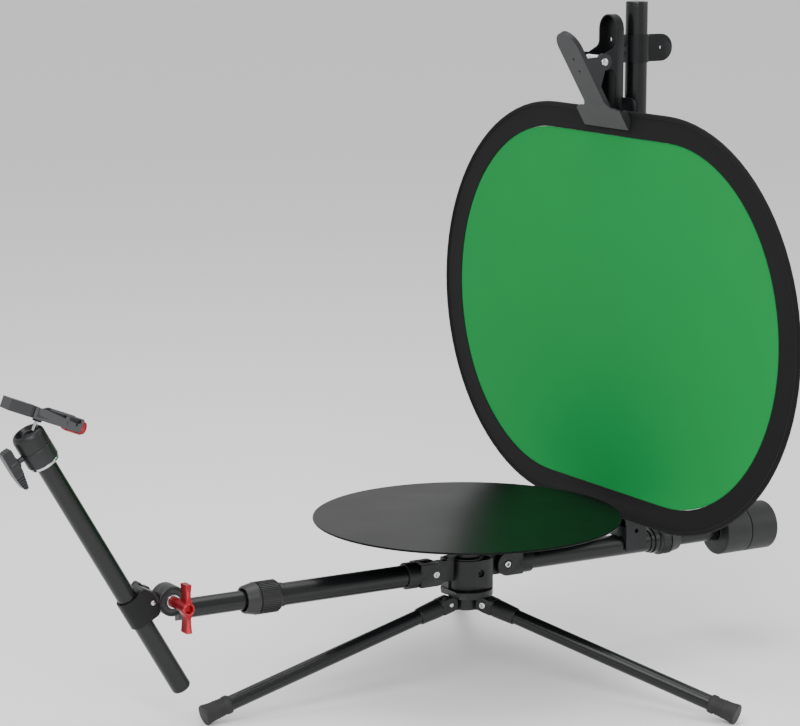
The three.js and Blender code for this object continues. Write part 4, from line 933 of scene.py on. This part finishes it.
def rounded(long, high, flat, inset, count=44):
    """The backdrop's outline: straight top and bottom, half ellipses at the ends."""
    reach, rise = long - flat - inset, high - inset
    angles = [radians(-90 + 180 * i / count) for i in range(count + 1)]
    right = [(flat + reach * cos(a), rise * sin(a)) for a in angles]
    edge = [(flat * (1 - 2 * i / 8), rise) for i in range(1, 8)]
    return right + edge + [(-y, -z) for y, z in right] + [(-y, -z) for y, z in edge]


def hoop(name, long, high, flat, inset):
    """The outline as a closed line across X; it is left in edit mode."""
    piece = line(name, [(0, y, z) for y, z in rounded(long, high, flat, inset)])
    bpy.ops.mesh.select_all(action="SELECT")
    bpy.ops.mesh.edge_face_add()
    bpy.ops.mesh.delete(type="ONLY_FACE")
    return piece


def woven(name, colour, thread, shine, low, high):
    """Plain weave polyester: fine threads up and across, with a soft sheen and faint slubs."""
    material, surface = new_finish(name)
    where = add_node(material, "ShaderNodeTexCoord").outputs["Object"]
    split = add_node(material, "ShaderNodeSeparateXYZ", None, {"Vector": where})
    rows = []
    for axis in ("Y", "Z"):
        turns = add_node(material, "ShaderNodeMath", {"operation": "MULTIPLY"})
        material.node_tree.links.new(split.outputs[axis], turns.inputs[0])
        turns.inputs[1].default_value = 2 * pi / thread
        rows.append(add_node(material, "ShaderNodeMath", {"operation": "SINE"},
                             {0: turns.outputs[0]}).outputs[0])
    weave = add_node(material, "ShaderNodeMath", {"operation": "MULTIPLY"}, {0: rows[0], 1: rows[1]})
    slub = add_node(material, "ShaderNodeTexNoise", None, {"Vector": where, "Scale": 14.0, "Detail": 5.0})
    thread_shade = add_node(material, "ShaderNodeMapRange", None,
                            {"Value": weave.outputs[0], "From Min": -1.0, "To Min": 0.94, "To Max": 1.04})
    tone = add_node(material, "ShaderNodeMix", {"data_type": "RGBA"}, {
        "Factor": slub.outputs["Fac"], "A": colour, "B": tuple(c * 1.08 for c in colour[:3]) + (1,)})
    shade = add_node(material, "ShaderNodeVectorMath", {"operation": "SCALE"}, {
        "Vector": tone.outputs["Result"], "Scale": thread_shade.outputs["Result"]})
    rough = add_node(material, "ShaderNodeMapRange", None,
                     {"Value": slub.outputs["Fac"], "To Min": low, "To Max": high})
    bump = add_node(material, "ShaderNodeBump", None,
                    {"Height": weave.outputs[0], "Strength": 0.25, "Distance": 0.00012})
    set_surface(material, surface, Base_Color=shade.outputs["Vector"], Roughness=rough.outputs["Result"],
                Normal=bump.outputs["Normal"], Sheen_Weight=shine, Sheen_Roughness=0.4, IOR=1.3)
    return material


green_cloth = woven("chroma_green_polyester", linear("04803a"), 0.0012, 0.0, 0.86, 0.95)
black_cloth = woven("black_polyester_binding", linear("0b0b0c"), 0.0014, 0.03, 0.75, 0.88)

# The cloth: rings of its own outline drawn in towards the middle, then a slow slack in it.
green = hoop("green_screen_cloth", GREEN_LONG, GREEN_HIGH, GREEN_FLAT, 0.3)
bpy.ops.mesh.select_all(action="SELECT")
RINGS = 30
for ring_number in range(1, RINGS):
    bpy.ops.mesh.extrude_region_move()
    ratio = (RINGS - ring_number) / (RINGS - ring_number + 1)
    bpy.ops.transform.resize(value=(1, ratio, ratio), center_override=(0, 0, 0))
bpy.ops.mesh.edge_face_add()
bpy.ops.mesh.poke()
faces_out()
for corner in green.data.vertices:
    y, z = corner.co.y * 1000, corner.co.z * 1000
    inside = min(1, max(0, 1 - max(abs(y) / GREEN_LONG, abs(z) / GREEN_HIGH)) * 4)
    slack = 0.25 * sin(y / 52 + 0.6) * cos(z / 71) + 0.16 * sin((y + z) / 34) + 0.1 * sin((y - 1.4 * z) / 21)
    corner.co.x += slack * inside / 1000
shaped(green, "SOLIDIFY", thickness=0.0008, offset=0)
place(green, (SCREEN_X, 0, SCREEN_Z))
fitted(green, "backdrop_carrier", ["backdrop_panel"], green_cloth, 60)

# The binding: a flat woven band with a rolled edge over the hoop.
border = hoop("black_screen_binding", HALF_LONG, HALF_HIGH, FLAT, 3)
bpy.ops.object.mode_set(mode="OBJECT")
roll = copied(border, "black_screen_roll")
inner = hoop("inner", GREEN_LONG, GREEN_HIGH, GREEN_FLAT, 0)
bpy.ops.object.mode_set(mode="OBJECT")
only(border)
inner.select_set(True)
bpy.ops.object.join()
bpy.ops.object.mode_set(mode="EDIT")
bpy.ops.mesh.select_all(action="SELECT")
bpy.ops.mesh.bridge_edge_loops(number_cuts=6, interpolation="LINEAR", smoothness=0)
faces_out()
shaped(border, "SOLIDIFY", thickness=0.0024, offset=0)
only(roll)
bpy.ops.object.convert(target="CURVE")
roll = bpy.context.object
roll.data.bevel_depth = 0.0029
roll.data.bevel_resolution = 5
bpy.ops.object.convert(target="MESH")
roll = bpy.context.object
only(roll)
bpy.ops.object.mode_set(mode="EDIT")
bpy.ops.mesh.select_all(action="SELECT")
bpy.ops.mesh.remove_doubles(threshold=1e-6)
faces_out()
place(border, (SCREEN_X, 0, SCREEN_Z))
fitted(border, "backdrop_carrier", ["backdrop_border"], black_cloth, 50)
place(roll, (SCREEN_X, 0, SCREEN_Z))
fitted(roll, "backdrop_carrier", [], black_cloth, 60)
